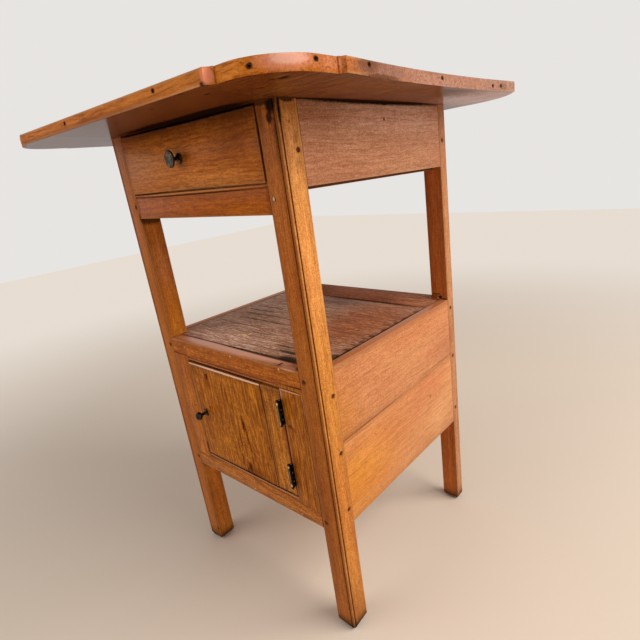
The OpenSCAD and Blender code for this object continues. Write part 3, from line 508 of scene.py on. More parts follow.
# %% The wood material
def wood(name, along, colour, shift, spots=(), knots=(), gloss=0.36, coat=0.03, bump=0.22,
         depths=None, wear=0.35, reach=2.5, ring_width=9.0, wander=14.0, front_shading=None,
         shine=0.07, grime=0.5, seam=0.9):
    """A board's material. along is the axis that its grain follows, knots push the grain aside,
    depths changes how strongly parts of the grain show, and the front factor multiplies the colour
    of the faces that look to the front, to paint light or shade on them."""
    finish = bpy.data.materials.new(name)
    finish.use_nodes = True
    tree = finish.node_tree
    shader = tree.nodes["Principled BSDF"]
    here = own_place(tree)
    seat = bent_place(tree, here, along, shift, knots)
    lines = use_group(tree, grain, {"Place": seat, "Ring width": ring_width, "Wander": wander}).outputs
    rub = use_group(tree, arris, {"Place": here, "Reach": reach}).outputs
    values = {"Ring depth": 0.4, "Fibre depth": 0.6, "Fleck depth": 0.5, "Cloud depth": 0.6,
              "Mottle depth": 0.6, "Figure depth": 0.45, "Wear light": wear, "Seam depth": seam,
              "Ripple depth": 0.12, "Gloss": gloss}
    values.update(depths or {})
    areas = [mark for mark in spots if len(mark) > 4 and max(mark[3][:3]) > DARK_BELOW]
    for centre, size, strength, stain, softness in areas:
        share = spot_share(tree, here, centre, size, strength, softness)
        colour = mix_colour(tree, share, colour, stain)
    look = use_group(tree, varnish, {
        "Tone": colour, "Rings": lines["Rings"], "Fibres": lines["Fibres"], "Flecks": lines["Flecks"],
        "Clouds": lines["Clouds"], "Mottle": lines["Mottle"], "Figure": lines["Figure"],
        "Ripple": lines["Ripple"], "Wear": rub["Wear"], **values}).outputs
    shown = look["Color"]
    # The faces that look to the front get painted light or shade.
    if front_shading:
        front_shaded = mix_colour(tree, 1.0, shown, front_shading, "MULTIPLY")
        shown = mix_colour(tree, facing_share(tree, "Y", -0.6, -0.95), shown, front_shaded)
    grimy = times(tree, rub["Inner"], times(tree, grime, lines["Clouds"]))
    shown = mix_colour(tree, grimy, shown, DIRT_AND_SHADE)
    dirt = 0.0
    for centre, size, strength, stain, *softness in [mark for mark in spots if mark not in areas]:
        share = spot_share(tree, here, centre, size, strength, *softness)
        shown = mix_colour(tree, share, shown, stain)
        if max(stain[:3]) < DARK_BELOW:
            dirt = reckon(tree, "MAXIMUM", share, dirt)
    tree.links.new(shown, shader.inputs["Base Color"])
    dull = plus(tree, look["Roughness"], times(tree, dirt, 0.5))
    tree.links.new(dull, shader.inputs["Roughness"])
    clean = reckon(tree, "SUBTRACT", 1.0, dirt, clamp=True)
    tree.links.new(times(tree, clean, coat), shader.inputs["Coat Weight"])
    raised = place(tree, "ShaderNodeBump",
                   {"Height": look["Height"], "Strength": bump, "Distance": 0.0004})
    tree.links.new(raised.outputs["Normal"], shader.inputs["Normal"])
    shader.inputs["Coat Roughness"].default_value = 0.2
    shader.inputs["Specular IOR Level"].default_value = shine
    return finish


print("wood materials are made board by board")

# %% [markdown]
# ## Copying a board
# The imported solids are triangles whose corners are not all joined. A copy is merged, and its flat
# faces are dissolved to single polygons, so that an arris is one edge again.

# %% Copies
body_of = {node: body for body, nodes in frame["record"]["behaviour"]["bodies"].items() for node in nodes}


def only(piece):
    """Selects one object alone and makes it the active one."""
    bpy.ops.object.select_all(action="DESELECT")
    piece.select_set(True)
    bpy.context.view_layer.objects.active = piece


def merged_copy(node, name):
    """A copy of a CAD node with its doubles merged and its flat faces made whole."""
    piece = bpy.data.objects.new(name, frame["nodes"][node].data.copy())
    bpy.context.scene.collection.objects.link(piece)
    piece.data.materials.clear()
    only(piece)
    if piece.data.has_custom_normals:
        bpy.ops.mesh.customdata_custom_splitnormals_clear()
    bpy.ops.object.mode_set(mode="EDIT")
    bpy.ops.mesh.select_all(action="SELECT")
    bpy.ops.mesh.remove_doubles(threshold=0.000005)
    bpy.ops.mesh.dissolve_limited(angle_limit=math.radians(0.3))
    bpy.ops.mesh.select_all(action="DESELECT")
    bpy.ops.object.mode_set(mode="OBJECT")
    return piece


print("copies can be made of", len(body_of), "nodes")

# %% [markdown]
# ## Rounding the arrises
# The long outer arrises are found in code, by their angle and length, and beveled a little. That
# catches light as a real edge does. A strip that lies close to another solid is marked as a seam,
# where old finish and dirt collect. A search tree over all solids answers which ones are close.

# %% Rounding the arrises
corners, faces, owners = [], [], []
for node, solid in frame["nodes"].items():
    start = len(corners)
    corners += [v.co.copy() for v in solid.data.vertices]
    faces += [[start + k for k in face.vertices] for face in solid.data.polygons]
    owners += [node] * len(solid.data.polygons)
neighbours = BVHTree.FromPolygons(corners, faces)


def touches_another(point, node, reach=0.0009):
    """Whether another solid comes within reach of a point."""
    return any(owners[k] != node for _, _, k, _ in neighbours.find_nearest_range(point, reach))


def round_arrises(piece, width, segments=2, shortest=0.006, wanted=None, node=None):
    """Bevels the outer arrises that are long enough and that wanted(edge) accepts.
    The new strips that lie at a joint are marked as a seam, where dirt and old finish collect."""
    only(piece)
    bpy.ops.object.mode_set(mode="EDIT")
    bpy.ops.mesh.select_mode(type="EDGE")
    bpy.ops.mesh.select_all(action="DESELECT")
    net = bmesh.from_edit_mesh(piece.data)
    count = 0
    for edge in net.edges:
        if len(edge.link_faces) != 2 or not edge.is_convex or edge.calc_length() < shortest:
            continue
        if edge.calc_face_angle() < math.radians(25) or (wanted and not wanted(edge)):
            continue
        edge.select_set(True)
        count += 1
    bmesh.update_edit_mesh(piece.data)
    if count:
        bpy.ops.mesh.bevel(offset=width, segments=segments, profile=0.5, clamp_overlap=False)
    if count and node:
        net = bmesh.from_edit_mesh(piece.data)
        seam = net.faces.layers.float.get("seam") or net.faces.layers.float.new("seam")
        for face in net.faces:
            if face.select and touches_another(face.calc_center_median(), node):
                face[seam] = 1.0
        bmesh.update_edit_mesh(piece.data)
    bpy.ops.mesh.select_all(action="DESELECT")
    bpy.ops.object.mode_set(mode="OBJECT")
    return count


print("search tree over", len(faces), "triangles")

# %% [markdown]
# ## Finishing a board
# Each point is told how far it is from the corners of the board's box, which the wear group reads.
# The faces are shaded, and the piece gets its finish and its body; the CAD node that it stands for
# is hidden.

# %% Finishing a board
def mark_box(piece):
    """Writes each point's distance from the board's low and high corners, in millimetres."""
    points = [v.co for v in piece.data.vertices]
    low = [min(p[k] for p in points) for k in range(3)]
    high = [max(p[k] for p in points) for k in range(3)]
    for title, sign, corner in (("from_low", 1, low), ("from_high", -1, high)):
        layer = piece.data.attributes.new(title, "FLOAT_VECTOR", "POINT")
        for k, point in enumerate(points):
            layer.data[k].vector = [max(0.0, sign * (point[i] - corner[i]) * 1000) for i in range(3)]


def shade(piece, degrees=35):
    """Smooth shading that keeps the sharp edges sharp."""
    only(piece)
    bpy.ops.object.shade_smooth_by_angle(angle=math.radians(degrees))


def settle(piece, node, finish):
    """Gives a finished piece its material and its body, and hides the CAD node that it stands for."""
    piece.data.materials.clear()
    piece.data.materials.append(finish)
    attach(piece, body_of[node])
    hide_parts(node)


def board(node, name, finish, width=0.0007, segments=2, shortest=0.006):
    """A CAD board, copied, rounded and finished."""
    piece = merged_copy(node, name)
    count = round_arrises(piece, width, segments, shortest, node=node)
    mark_box(piece)
    shade(piece)
    settle(piece, node, finish)
    print(f"{name}: {count} arrises rounded, {len(piece.data.polygons)} faces")


print("board helpers ready,", len(frame["nodes"]), "nodes to copy from")

# %% [markdown]
# ## The top
# The top is one wide board with its grain running from side to side. Its straight front edge
# ends in two small coves, each front corner is a round lobe, and each side edge is hollow. The
# upper arris is rubbed round. Old nails left small dark holes in its edge.

# %% The top
TOP_HOLES = [
    ((143, -273, 753.9), (0, 1, 0)), ((264.5, -259.7, 751.9), (-0.45, 0.89, 0)),
    ((294.7, -216, 754.7), (-1, 0, 0)), ((297.8, -149.7, 755.0), (-1, 0, 0)),
    ((291, -4, 753.5), (-1, 0, 0)),
    ((295.6, 125, 750.9), (-1, 0, 0)), ((297.4, 147.7, 751.6), (-1, 0, 0)),
    ((-64, -273, 753), (0, 1, 0)), ((-262, -262, 752), (0.45, 0.89, 0)), ((-297, -120, 753), (1, 0, 0)),
    ((-291, 40, 752), (1, 0, 0)),
]
top_finish = wood(
    "top_varnish", "x", tone(202, 116, 38), (340, 60, -728), wear=0.5, reach=3.5, ring_width=12,
    # The factor for the faces that look to the front lightens them: painted light.
    shine=0.05, coat=0.01, gloss=0.5, front_shading=(1.26, 1.36, 1.42, 1),
    depths={"Fibre depth": 0.9, "Mottle depth": 0.22, "Cloud depth": 0.5, "Figure depth": 0.15},
    spots=[
        ((219, -273, 746), (5, 4, 3), 0.9, BURNT),
        ((-60, -273, 747), (260, 6, 4), 0.4, tone(130, 70, 30)),
        # The pale spots at the left cove (223, -270) and on the lobe (284, -241), (286, -238) are painted
        # highlights.
        ((223, -270, 752), (7, 7, 9), 0.85, tone(240, 150, 116)),
        ((246, -268, 752), (24, 16, 12), 0.6, tone(224, 132, 44), 0.8),
        ((284, -241, 754), (26, 36, 10), 0.5, tone(238, 158, 128)),
        ((286, -238, 755), (15, 22, 6), 0.55, tone(252, 198, 180)),
        ((297, -200, 753), (14, 24, 12), 0.6, tone(232, 150, 112), 0.9),
        ((299, 60, 752), (34, 240, 30), 0.95, tone(184, 137, 116), 0.5),
        ((299, 180, 752), (34, 110, 30), 0.6, tone(188, 148, 132), 0.8),
        ((297, -120, 746), (5, 44, 3.5), 0.7, DIRT_AND_SHADE), ((298, 152, 751), (3, 18, 5), 0.35, DIRT_AND_SHADE),
        ((299, -150, 755), (5, 26, 9), 0.5, DIRT_AND_SHADE),
        ((297, -125, 752), (20, 70, 14), 0.8, tone(156, 116, 102), 0.6),
        ((299, -40, 747), (6, 60, 3), 0.5, DIRT_AND_SHADE),
        ((294, -20, 757), (8, 70, 2.4), 0.4, tone(150, 100, 76))]
    + [(hole_at, (3.8, 3.8, 3.2), 0.95, BURNT) for hole_at, _ in TOP_HOLES],
)
print("finish", top_finish.name, "and places for", len(TOP_HOLES), "holes")

# %% [markdown]
# The underside's tone is darker than the top's, as painted shade, and it is painted black where the
# top lies on the frame and along the drawer, as painted shadow; it has a few old nail holes. Seen at a
# flat angle it mirrors what is bright, so it has a coat; the pale patch at the back right is a
# painted reflection. It gets a second material slot, for the faces that look down.

# %% The underside
# The underside's dark tone is painted shade.
underside_painted_shade = wood(
    "top_underside", "x", tone(116, 64, 28), (340, 60, -728), wear=0.1, ring_width=12,
    shine=0.0, coat=0.6, gloss=0.42, bump=0.3,
    depths={"Fibre depth": 0.9, "Cloud depth": 0.9, "Mottle depth": 0.3},
    spots=[((101, -254, 745), (4, 2.8, 4), 0.9, BURNT), ((187, -247, 745), (5, 2.8, 4), 0.95, BURNT),
           ((208, -228, 745), (3, 2.4, 3), 0.7, BURNT), ((225, -216, 745), (4, 2.4, 3), 0.8, BURNT),
           ((258, -232, 745), (6, 2.4, 3), 0.8, BURNT), ((267, -228, 745), (9, 4, 3), 0.95, BURNT),
           ((182, -270, 745), (5, 2.4, 3), 0.7, BURNT), ((271, 131, 745), (4, 4, 3), 0.7, BURNT),
           ((225, -192, 745), (34, 30, 3), 0.5, tone(134, 92, 44), 1.0),
           ((255, -100, 745), (90, 180, 4), 0.7, tone(132, 80, 38), 1.0),
           # The pale patch at the back right is a painted reflection.
           ((262, 200, 745), (110, 150, 4), 1.0, tone(212, 176, 164), 0.7),
           # A black band along the drawer front: painted shadow.
           ((10, -178, 745), (175, 19, 3), 1.0, BURNT, 0.5),
           ((95, -180, 745), (80, 19, 3), 1.0, BURNT, 0.5),
           # Black lines where the top lies on the frame: painted shadow.
           ((190, 0, 745), (8, 220, 3), 0.9, BURNT), ((-190, 0, 745), (8, 220, 3), 0.9, BURNT)],
)
print("finish", underside_painted_shade.name)

# %% [markdown]
# The photograph doesn't show the upper face. It is given the wear that basins and jugs leave: its
# middle is a little bleached and it has some dull, darker patches where water stood. It gets a
# third slot, for the faces that look up.

# %% The worn upper face
upper_finish = wood(
    "top_worn_upper", "x", tone(200, 120, 50), (340, 60, -728), wear=0.5, reach=7, ring_width=12,
    shine=0.06, coat=0.03, gloss=0.44,
    depths={"Ring depth": 0.6, "Fibre depth": 0.9, "Cloud depth": 0.9, "Mottle depth": 0.35,
            "Figure depth": 0.3},
    spots=[((0, 20, 759), (230, 190, 6), 0.8, tone(214, 150, 92), 1.0),
           ((-90, -120, 759), (90, 60, 4), 0.3, DIRT_AND_SHADE, 1.0),
           ((160, 70, 759), (60, 50, 4), 0.45, DIRT_AND_SHADE, 1.0),
           ((-190, 130, 759), (70, 40, 4), 0.4, DIRT_AND_SHADE, 1.0),
           ((40, -64, 759), (9, 7, 4), 0.5, DIRT_AND_SHADE), ((-138, 92, 759), (7, 5, 4), 0.5, DIRT_AND_SHADE),
           ((92, 138, 759), (5, 7, 4), 0.5, DIRT_AND_SHADE),
           ((200, -150, 759), (12, 5, 4), 0.45, DIRT_AND_SHADE), ((-30, 190, 759), (14, 6, 4), 0.45, DIRT_AND_SHADE),
           ((0, -262, 759), (290, 16, 4), 0.5, tone(222, 150, 84), 1.0)],
)
print("finish", upper_finish.name)

# %% [markdown]
# Nail holes and small knocks are cut into the edge. Each cutter is a short cone. The cutters are
# joined, one boolean modifier takes their shape out of the top, and it is then applied.

# %% Holes and knocks in the edge
HOLE_RADIUS = 0.0012
HOLE_DEPTH = 0.006
PROUD = 0.0012  # how far a cutter starts outside the wood
NICKS = [
    ((297.2, -151, 744.6), 0.0020, (0.3, 1.2, 0.4)), ((296.6, -132, 744.8), 0.0016, (1.0, 0.4, 0.9)),
    ((295.4, -118, 744.5), 0.0024, (0.8, 0.2, 0.5)), ((294.6, -102, 744.6), 0.0018, (0.2, 0.9, 1.3)),
    ((292.8, -72, 744.8), 0.0014, (1.1, 0.4, 0.1)), ((291.6, -58, 744.7), 0.0018, (0.4, 1.3, 0.7)),
    ((60, -273, 744.6), 0.0016, (0.7, 0.3, 1.0)), ((-120, -273, 744.7), 0.0020, (0.2, 1.1, 0.3)),
    ((218.8, -273, 744.9), 0.0018, (0.6, 0.6, 0.2)),
]


def hole_cut(place_at, towards):
    """A cone that points into the wood, as a cutter for an old nail hole."""
    aim = Vector(towards).normalized()
    middle = Vector(place_at) / 1000 + aim * (HOLE_DEPTH / 2 - PROUD)
    bpy.ops.mesh.primitive_cone_add(vertices=10, radius1=HOLE_RADIUS, radius2=HOLE_RADIUS * 0.45,
                                    depth=HOLE_DEPTH, location=middle,
                                    rotation=aim.to_track_quat("Z", "Y").to_euler())
    return bpy.context.object


def nick_cut(place_at, size, turned_by):
    """A small wedge that bites into the lower arris."""
    bpy.ops.mesh.primitive_cone_add(vertices=5, radius1=size, radius2=size * 0.3, depth=size * 2.4,
                                    location=Vector(place_at) / 1000, rotation=turned_by)
    return bpy.context.object


def cut_away(piece, cutters):
    """Subtracts the joined cutters from a piece and removes them."""
    bpy.ops.object.select_all(action="DESELECT")
    for cutter in cutters:
        cutter.select_set(True)
    bpy.context.view_layer.objects.active = cutters[0]
    bpy.ops.object.join()
    tool = bpy.context.object
    only(piece)
    cut = piece.modifiers.new("cut", "BOOLEAN")
    cut.operation = "DIFFERENCE"
    cut.solver = "EXACT"
    cut.use_self = True
    cut.object = tool
    bpy.ops.object.modifier_apply(modifier="cut")
    bpy.data.objects.remove(tool)


print("cutters:", len(TOP_HOLES), "holes and", len(NICKS), "knocks")

# %% [markdown]
# The top is copied and its arrises are rounded, the upper one more. Then the holes are cut, and
# each face gets the material slot for the way that it looks: up, down or out.

# %% Making the top
def on_upper_arris(edge):
    """Whether an edge lies in the top's upper face."""
    return all(v.co.z > 0.757 for v in edge.verts)


def on_lower_arris(edge):
    """Whether an edge lies in the top's underside and reaches its front part."""
    return all(v.co.z < 0.7455 for v in edge.verts) and min(v.co.y for v in edge.verts) < -0.17


top = merged_copy("top_board", "top")
round_arrises(top, 0.0022, 4, 0.0, on_upper_arris)
round_arrises(top, 0.0009, 2, 0.0, on_lower_arris)
bpy.ops.object.select_all(action="DESELECT")
cut_away(top, [hole_cut(*hole) for hole in TOP_HOLES] + [nick_cut(*nick) for nick in NICKS])
mark_box(top)
shade(top, 30)
settle(top, "top_board", top_finish)
top.data.materials.append(underside_painted_shade)
top.data.materials.append(upper_finish)
# The faces that look down get the darker underside material: painted shade.
for face in top.data.polygons:
    face.material_index = 1 if face.normal.z < -0.9 else 2 if face.normal.z > 0.98 else 0
print("top:", len(top.data.polygons), "faces")

# %% [markdown]
# ## The legs
# Four straight posts. Each front one has a small bead between two quirks at its outer front
# corner, which the CAD section already has; the quirk faces are drawn dark. The feet are
# rounded by knocks and damp, so their lower arrises get a wider bevel than the rest.

# %% Marks on the legs
PEG_PLACES = {
    "front_leg_right": [(186, -143, 693), (186, -143, 389), (186, -143, 302), (186, -143, 210),
                        (161, -167, 414), (161, -167, 192)],
    "front_leg_left": [(-161, -167, 644), (-161, -167, 415), (-161, -167, 192)],
    "back_leg_right": [(186, 178, 693), (186, 178, 411), (186, 178, 318), (186, 178, 210)],
    "back_leg_left": [],
}
LEG_MARKS = {
    # Rows one and two lighten the post high on its side and front: painted light. Rows three and four make
    # it darker towards the bottom.
    "front_leg_right": [((186, -150, 600), (8, 34, 200), 0.75, tone(252, 176, 100), 1.0),
                        ((163, -167, 600), (22, 6, 220), 0.95, tone(238, 158, 84), 0.9),
                        ((163, -167, 200), (14, 6, 280), 0.6, tone(172, 100, 40), 1.0),
                        ((186, -150, 0), (8, 34, 130), 0.5, tone(150, 84, 36), 1.0),
                        # The black marks at the post's top, under the top's edge: painted shadow.
                        ((178, -167, 739), (10, 6, 10), 1.0, BURNT),
                        ((174, -167, 728), (6, 5, 9), 0.9, BURNT),
                        ((170, -167, 744), (30, 5, 5), 0.8, BURNT),
                        # The dark inner face beside the drawer: painted shade.
                        ((154, -160, 702), (1.3, 30, 52), 0.9, BURNT),
                        ((160, -167, 730), (8, 5, 26), 0.55, DIRT_AND_SHADE, 1.0),
                        ((181, -165, 712), (8, 8, 44), 0.6, DIRT_AND_SHADE, 1.0),
                        ((186, -151, 722), (4, 2.4, 3), 0.7, DIRT_AND_SHADE, 1.0),
                        ((186, -144, 706), (6, 6, 12), 0.4, DIRT_AND_SHADE, 1.0),
                        ((186, -144, 680), (6, 7, 13), 0.4, DIRT_AND_SHADE, 1.0),
                        ((186, -156, 684), (6, 5, 16), 0.25, DIRT_AND_SHADE, 1.0),
                        ((186, -152, 737), (6, 16, 9), 0.4, DIRT_AND_SHADE, 1.0),
                        # Painted light high on the side.
                        ((186, -150, 700), (8, 34, 70), 0.6, tone(236, 168, 100), 1.0),
                        # Painted shadow under the top's edge.
                        ((186, -150, 745), (6, 16, 5), 0.9, BURNT),
                        ((186, -163, 735), (4, 3.5, 22), 0.85, BURNT)],
    "front_leg_left": [((-157, -167, 27), (4, 4, 6), 0.7, BURNT),
                       # Painted light on the inner face.
                       ((-154, -150, 545), (6, 34, 60), 0.5, tone(240, 160, 100), 1.0),
                       # Painted shadow under the drawer rail.
                       ((-154, -150, 626), (6, 34, 14), 0.8, BURNT),
                       # Painted shadow under the cupboard's lower rail.
                       ((-154, -150, 180), (8, 34, 26), 0.6, DIRT_AND_SHADE, 1.0)],
    "back_leg_right": [((160, 169, 432), (8, 6, 6), 0.7, tone(150, 72, 30)),
                       ((172, 169, 432), (5, 6, 3.8), 0.95, BURNT),
                       ((154, 169, 433), (2.4, 6, 4), 0.9, BURNT),
                       ((163, 169, 437.4), (12, 6, 1.4), 0.8, BURNT),
                       ((167.5, 169, 429.6), (2.4, 4, 2), 0.8, tone(220, 170, 130)),
                       ((180, 169, 429), (8, 4, 2), 0.7, BURNT)],
    "back_leg_left": [],
}
LEG_TONES = {
    "front_leg_right": (222, 145, 66), "front_leg_left": (220, 138, 50),
    "back_leg_right": (209, 147, 100), "back_leg_left": (190, 108, 30),
}
# Factors that darken the faces that look to the front: painted shade.
LEG_FRONT_SHADE = {
    "front_leg_right": (0.74, 0.58, 0.40, 1), "front_leg_left": (0.77, 0.64, 0.30, 1),
    "back_leg_right": (0.94, 0.58, 0.27, 1), "back_leg_left": None,
}


print("marks for", len(LEG_MARKS), "legs")

# %% [markdown]
# The quirks are found by their place: they are upright faces that lie a little inside the leg's
# flat sides. Two small tests pick the edges at the foot and the upright ones.

# %% Making the legs
def at_foot(edge):
    """Whether an edge lies on the ground."""
    return all(v.co.z < 0.0005 for v in edge.verts)


def upright(edge):
    """Whether an edge runs up and down."""
    return abs((edge.verts[0].co - edge.verts[1].co).normalized().z) > 0.9


def darken_quirks(leg):
    """Marks the upright faces that lie below the leg's flat sides, near a beaded corner."""
    points = [v.co.copy() for v in leg.data.vertices]
    sides = [(min(p[k] for p in points), max(p[k] for p in points)) for k in (0, 1)]
    layer = leg.data.attributes.get("seam") or leg.data.attributes.new("seam", "FLOAT", "FACE")
    found = 0
    for face in leg.data.polygons:
        if abs(face.normal.z) > 0.5 or face.area < 0.00002:
            continue
        middle = face.center
        gaps = [min(middle[k] - sides[k][0], sides[k][1] - middle[k]) for k in (0, 1)]
        half_height = max((points[v] - middle).z for v in face.vertices)
        if min(gaps) > 0.0005 and max(gaps) < 0.0065 and half_height > 0.2:
            layer.data[face.index].value = 1.0
            found += 1
    return found


for count, (node, colour) in enumerate(LEG_TONES.items()):
    marks = LEG_MARKS[node] + [(peg, (5, 5, 5), 0.6, DIRT_AND_SHADE) for peg in PEG_PLACES[node]]
    low_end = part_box(node)[0] * 1000
    foot = (low_end.x + 16, low_end.y + 14)
    marks.append(((*foot, -8), (90, 90, 44), 0.85, DIRT_AND_SHADE, 1.0))
    marks.append(((*foot, -2), (90, 90, 24), 0.85, BURNT, 0.9))
    finish = wood(node + "_varnish", "z", tone(*colour), (count * 310, 45 + count * 30, 30),
                  spots=marks, wear=0.22, reach=3.0, ring_width=7, front_shading=LEG_FRONT_SHADE[node], seam=0.6,
                  depths={"Mottle depth": 0.5, "Figure depth": 0.3, "Fibre depth": 0.5, "Cloud depth": 0.8})
    leg = merged_copy(node, node.replace("_leg", "_post"))
    round_arrises(leg, 0.0055, 5, 0.0, at_foot)
    round_arrises(leg, 0.0006, 2, 0.02, upright, node)
    quirks = darken_quirks(leg)
    mark_box(leg)
    shade(leg)
    settle(leg, node, finish)
    print(leg.name, len(leg.data.polygons), "faces,", quirks, "of them in the quirks")

# %% [markdown]
# ## Side aprons
# Side aprons and side panels have their grain from front to back, rails from side to side and
# stiles upright. Each apron is a plain board with its own tone. Its tenons are hidden in the legs.

# %% Side aprons
SIDES = (("right", 1), ("left", -1))
for side, sign in SIDES:
    outer = sign * 186
    board("side_apron_" + side, "apron_" + side,
          wood(f"apron_{side}_varnish", "y", tone(205, 147, 111), (500 * sign, 70, 20), gloss=0.4,
               wear=0.3, depths={"Mottle depth": 0.42, "Figure depth": 0.3, "Fibre depth": 0.45}, grime=0.3,
               # The pale area high on the apron: painted light.
               spots=[((outer, 60, 736), (20, 190, 44), 1.0, tone(246, 192, 164), 0.8),
                      ((outer, 23.6, 724.3), (2.2, 2.2, 2.6), 0.95, BURNT),
                      ((outer, 27, 743), (3, 9, 2.4), 0.9, BURNT),
                      # The black line at the top edge: painted shadow of the gap under the top.
                      ((outer, 20, 746), (6, 220, 5.5), 1.0, BURNT)]))

# %% [markdown]
# ## Side panels
# Each side panel is two boards, joined near the middle of its height along a line that isn't
# quite level. The solid is copied twice, each copy is cut along the joint and closed again, and
# the two halves get their own tone, rosy above and honey below.

# %% Side panels
PANEL_DEPTHS = {"Fibre depth": 0.4, "Figure depth": 0.2, "Mottle depth": 0.38, "Fleck depth": 0.3,
                "Ring depth": 0.15}
JOINT_PLACE = (0, 0.0265, 0.318)
JOINT_TILT = (0, -0.026, 1)


def panel_half(node, name, finish, keep_upper):
    """One of the two boards of a side panel."""
    piece = merged_copy(node, name)
    bpy.ops.object.mode_set(mode="EDIT")
    bpy.ops.mesh.select_all(action="SELECT")
    bpy.ops.mesh.bisect(plane_co=JOINT_PLACE, plane_no=JOINT_TILT, use_fill=True,
                        clear_inner=keep_upper, clear_outer=not keep_upper)
    bpy.ops.mesh.select_all(action="DESELECT")
    bpy.ops.object.mode_set(mode="OBJECT")
    round_arrises(piece, 0.0006, node=node)
    mark_box(piece)
    shade(piece)
    settle(piece, node, finish)
    print(name, len(piece.data.polygons), "faces")


for side, sign in SIDES:
    outer = sign * 186
    node = "side_panel_" + side
    panel_half(node, "panel_upper_" + side, wood(
        f"panel_upper_{side}_varnish", "y", tone(215, 146, 97), (260 * sign, 90, 60), wear=0.3,
        ring_width=16, depths=PANEL_DEPTHS, seam=0.3,
        spots=[((outer, -150, 340), (20, 90, 110), 0.8, tone(216, 142, 64), 1.0),
               ((outer, 150, 335), (20, 60, 40), 0.5, tone(196, 126, 88), 1.0),
               ((sign * 178.5, 20, 429), (9, 260, 3), 0.75, tone(172, 106, 58)),
               ((sign * 171, 20, 428), (1.8, 260, 4), 0.8, BURNT),
               ((outer, 110, 350), (20, 75, 17), 0.5, tone(204, 124, 80), 1.0),
               ((outer, -20, 352), (20, 75, 9), 0.3, tone(204, 124, 80), 1.0),
               ((outer, 20, 428), (10, 200, 5), 0.5, tone(176, 100, 60)),
               ((outer, -60, 317.5), (10, 130, 1.5), 0.45, DIRT_AND_SHADE),
               ((outer, 120, 325), (10, 70, 1.5), 0.35, DIRT_AND_SHADE)]), True)
    panel_half(node, "panel_lower_" + side, wood(
        f"panel_lower_{side}_varnish", "y", tone(219, 150, 97), (610 * sign, 40, 30), wear=0.3,
        ring_width=13, depths=PANEL_DEPTHS, seam=0.3,
        spots=[((outer, -130, 240), (20, 180, 100), 0.95, tone(228, 148, 58), 1.0),
               ((outer, 100, 300), (20, 80, 30), 0.5, tone(222, 142, 96), 1.0),
               ((outer, 130, 215), (20, 70, 60), 0.5, tone(240, 176, 122), 1.0),
               ((outer, -105, 312), (10, 50, 1.2), 0.4, DIRT_AND_SHADE),
               ((outer, 91, 276.5), (3, 4, 3.5), 0.55, DIRT_AND_SHADE),
               ((outer, -68, 291), (3, 1.6, 1.8), 0.6, DIRT_AND_SHADE),
               ((outer, -95, 258), (3, 1.4, 1.6), 0.5, DIRT_AND_SHADE),
               ((outer, -124, 252), (3, 1.2, 1.4), 0.5, DIRT_AND_SHADE)]), False)

# %% [markdown]
# ## Back apron
# The photograph doesn't show the back. Its apron is a board like the rest, without marks.

# %% Back apron
board("back_apron", "apron_back",
      wood("apron_back_varnish", "x", tone(200, 128, 70), (40, 200, 0)))

# %% [markdown]
# ## Rails and stiles
# They frame the drawer and the door. Long thin spots draw what lies along an edge: the light on
# a bead, the dark of a joint. The nails in the cupboard's rails are small pale dots.

# %% Rails and stiles
DOOR_DARK = tone(112, 50, 14)
NAIL_HEAD = (0.8, 0.6, 0.3, 1)
board("drawer_rail", "rail_under_drawer",
      wood("drawer_rail_varnish", "x", tone(196, 106, 28), (-90, 30, 400), wear=0.3,
           depths={"Mottle depth": 0.4, "Figure depth": 0.45, "Cloud depth": 0.4},
           spots=[((0, -167, 659), (180, 4, 1.7), 0.6, tone(226, 152, 88)),
                  ((0, -167, 656.4), (180, 4, 1.1), 0.85, BURNT),
                  ((152, -167, 642), (5, 8, 20), 0.35, DIRT_AND_SHADE),
                  ((-152, -167, 642), (5, 8, 20), 0.35, DIRT_AND_SHADE)]),
      width=0.0005)
board("cupboard_top_rail", "rail_over_door",
      wood("top_rail_varnish", "x", tone(208, 120, 39), (150, 30, 250), wear=0.5, reach=4,
           depths={"Cloud depth": 0.9, "Fibre depth": 1.0, "Figure depth": 0.6, "Ripple depth": 0.6},
           # Pale strips along the upper arris: rubbed wear and a painted highlight.
           spots=[((-10, -157, 428.5), (190, 12, 3), 0.85, tone(224, 162, 134)),
                  ((133, -164, 427), (20, 7, 3.6), 0.75, tone(228, 164, 130)),
                  ((112, -160, 428), (3, 7, 3), 0.85, BURNT), ((150, -158, 428), (10, 8, 4), 0.85, BURNT),
                  ((60, -150, 428.5), (120, 2.6, 3), 0.8, BURNT),
                  ((-130, -168, 412), (26, 4, 16), 0.45, tone(120, 50, 20), 1.0),
                  ((-20, -168, 400), (130, 4, 8), 0.3, DIRT_AND_SHADE, 1.0),
                  ((8, -167, 422.7), (2, 3, 2), 0.9, NAIL_HEAD),
                  ((115, -167, 424), (2, 3, 2), 0.9, NAIL_HEAD),
                  ((-116, -167, 417), (2, 3, 2), 0.6, NAIL_HEAD)]), width=0.0022, segments=4)
board("cupboard_bottom_rail", "rail_under_door",
      wood("bottom_rail_varnish", "x", tone(203, 124, 49), (620, 30, 250), wear=0.4,
           depths={"Fibre depth": 1.5, "Figure depth": 0.8},
           spots=[((0, -167, 211.4), (240, 3, 1.4), 0.6, tone(222, 150, 116)),
                  # The dark line under the door: painted shadow and dirt.
                  ((0, -163, 213), (170, 4.4, 1.6), 0.95, BURNT),
                  ((-120, -167, 206), (50, 4, 8), 0.4, DIRT_AND_SHADE, 1.0),
                  ((0, -167, 184.7), (2, 3, 2), 0.8, NAIL_HEAD),
                  ((110, -167, 184), (1.6, 3, 1.6), 0.6, NAIL_HEAD),
                  ((-138, -167, 212), (2, 3, 2), 0.5, NAIL_HEAD)]), width=0.0008)
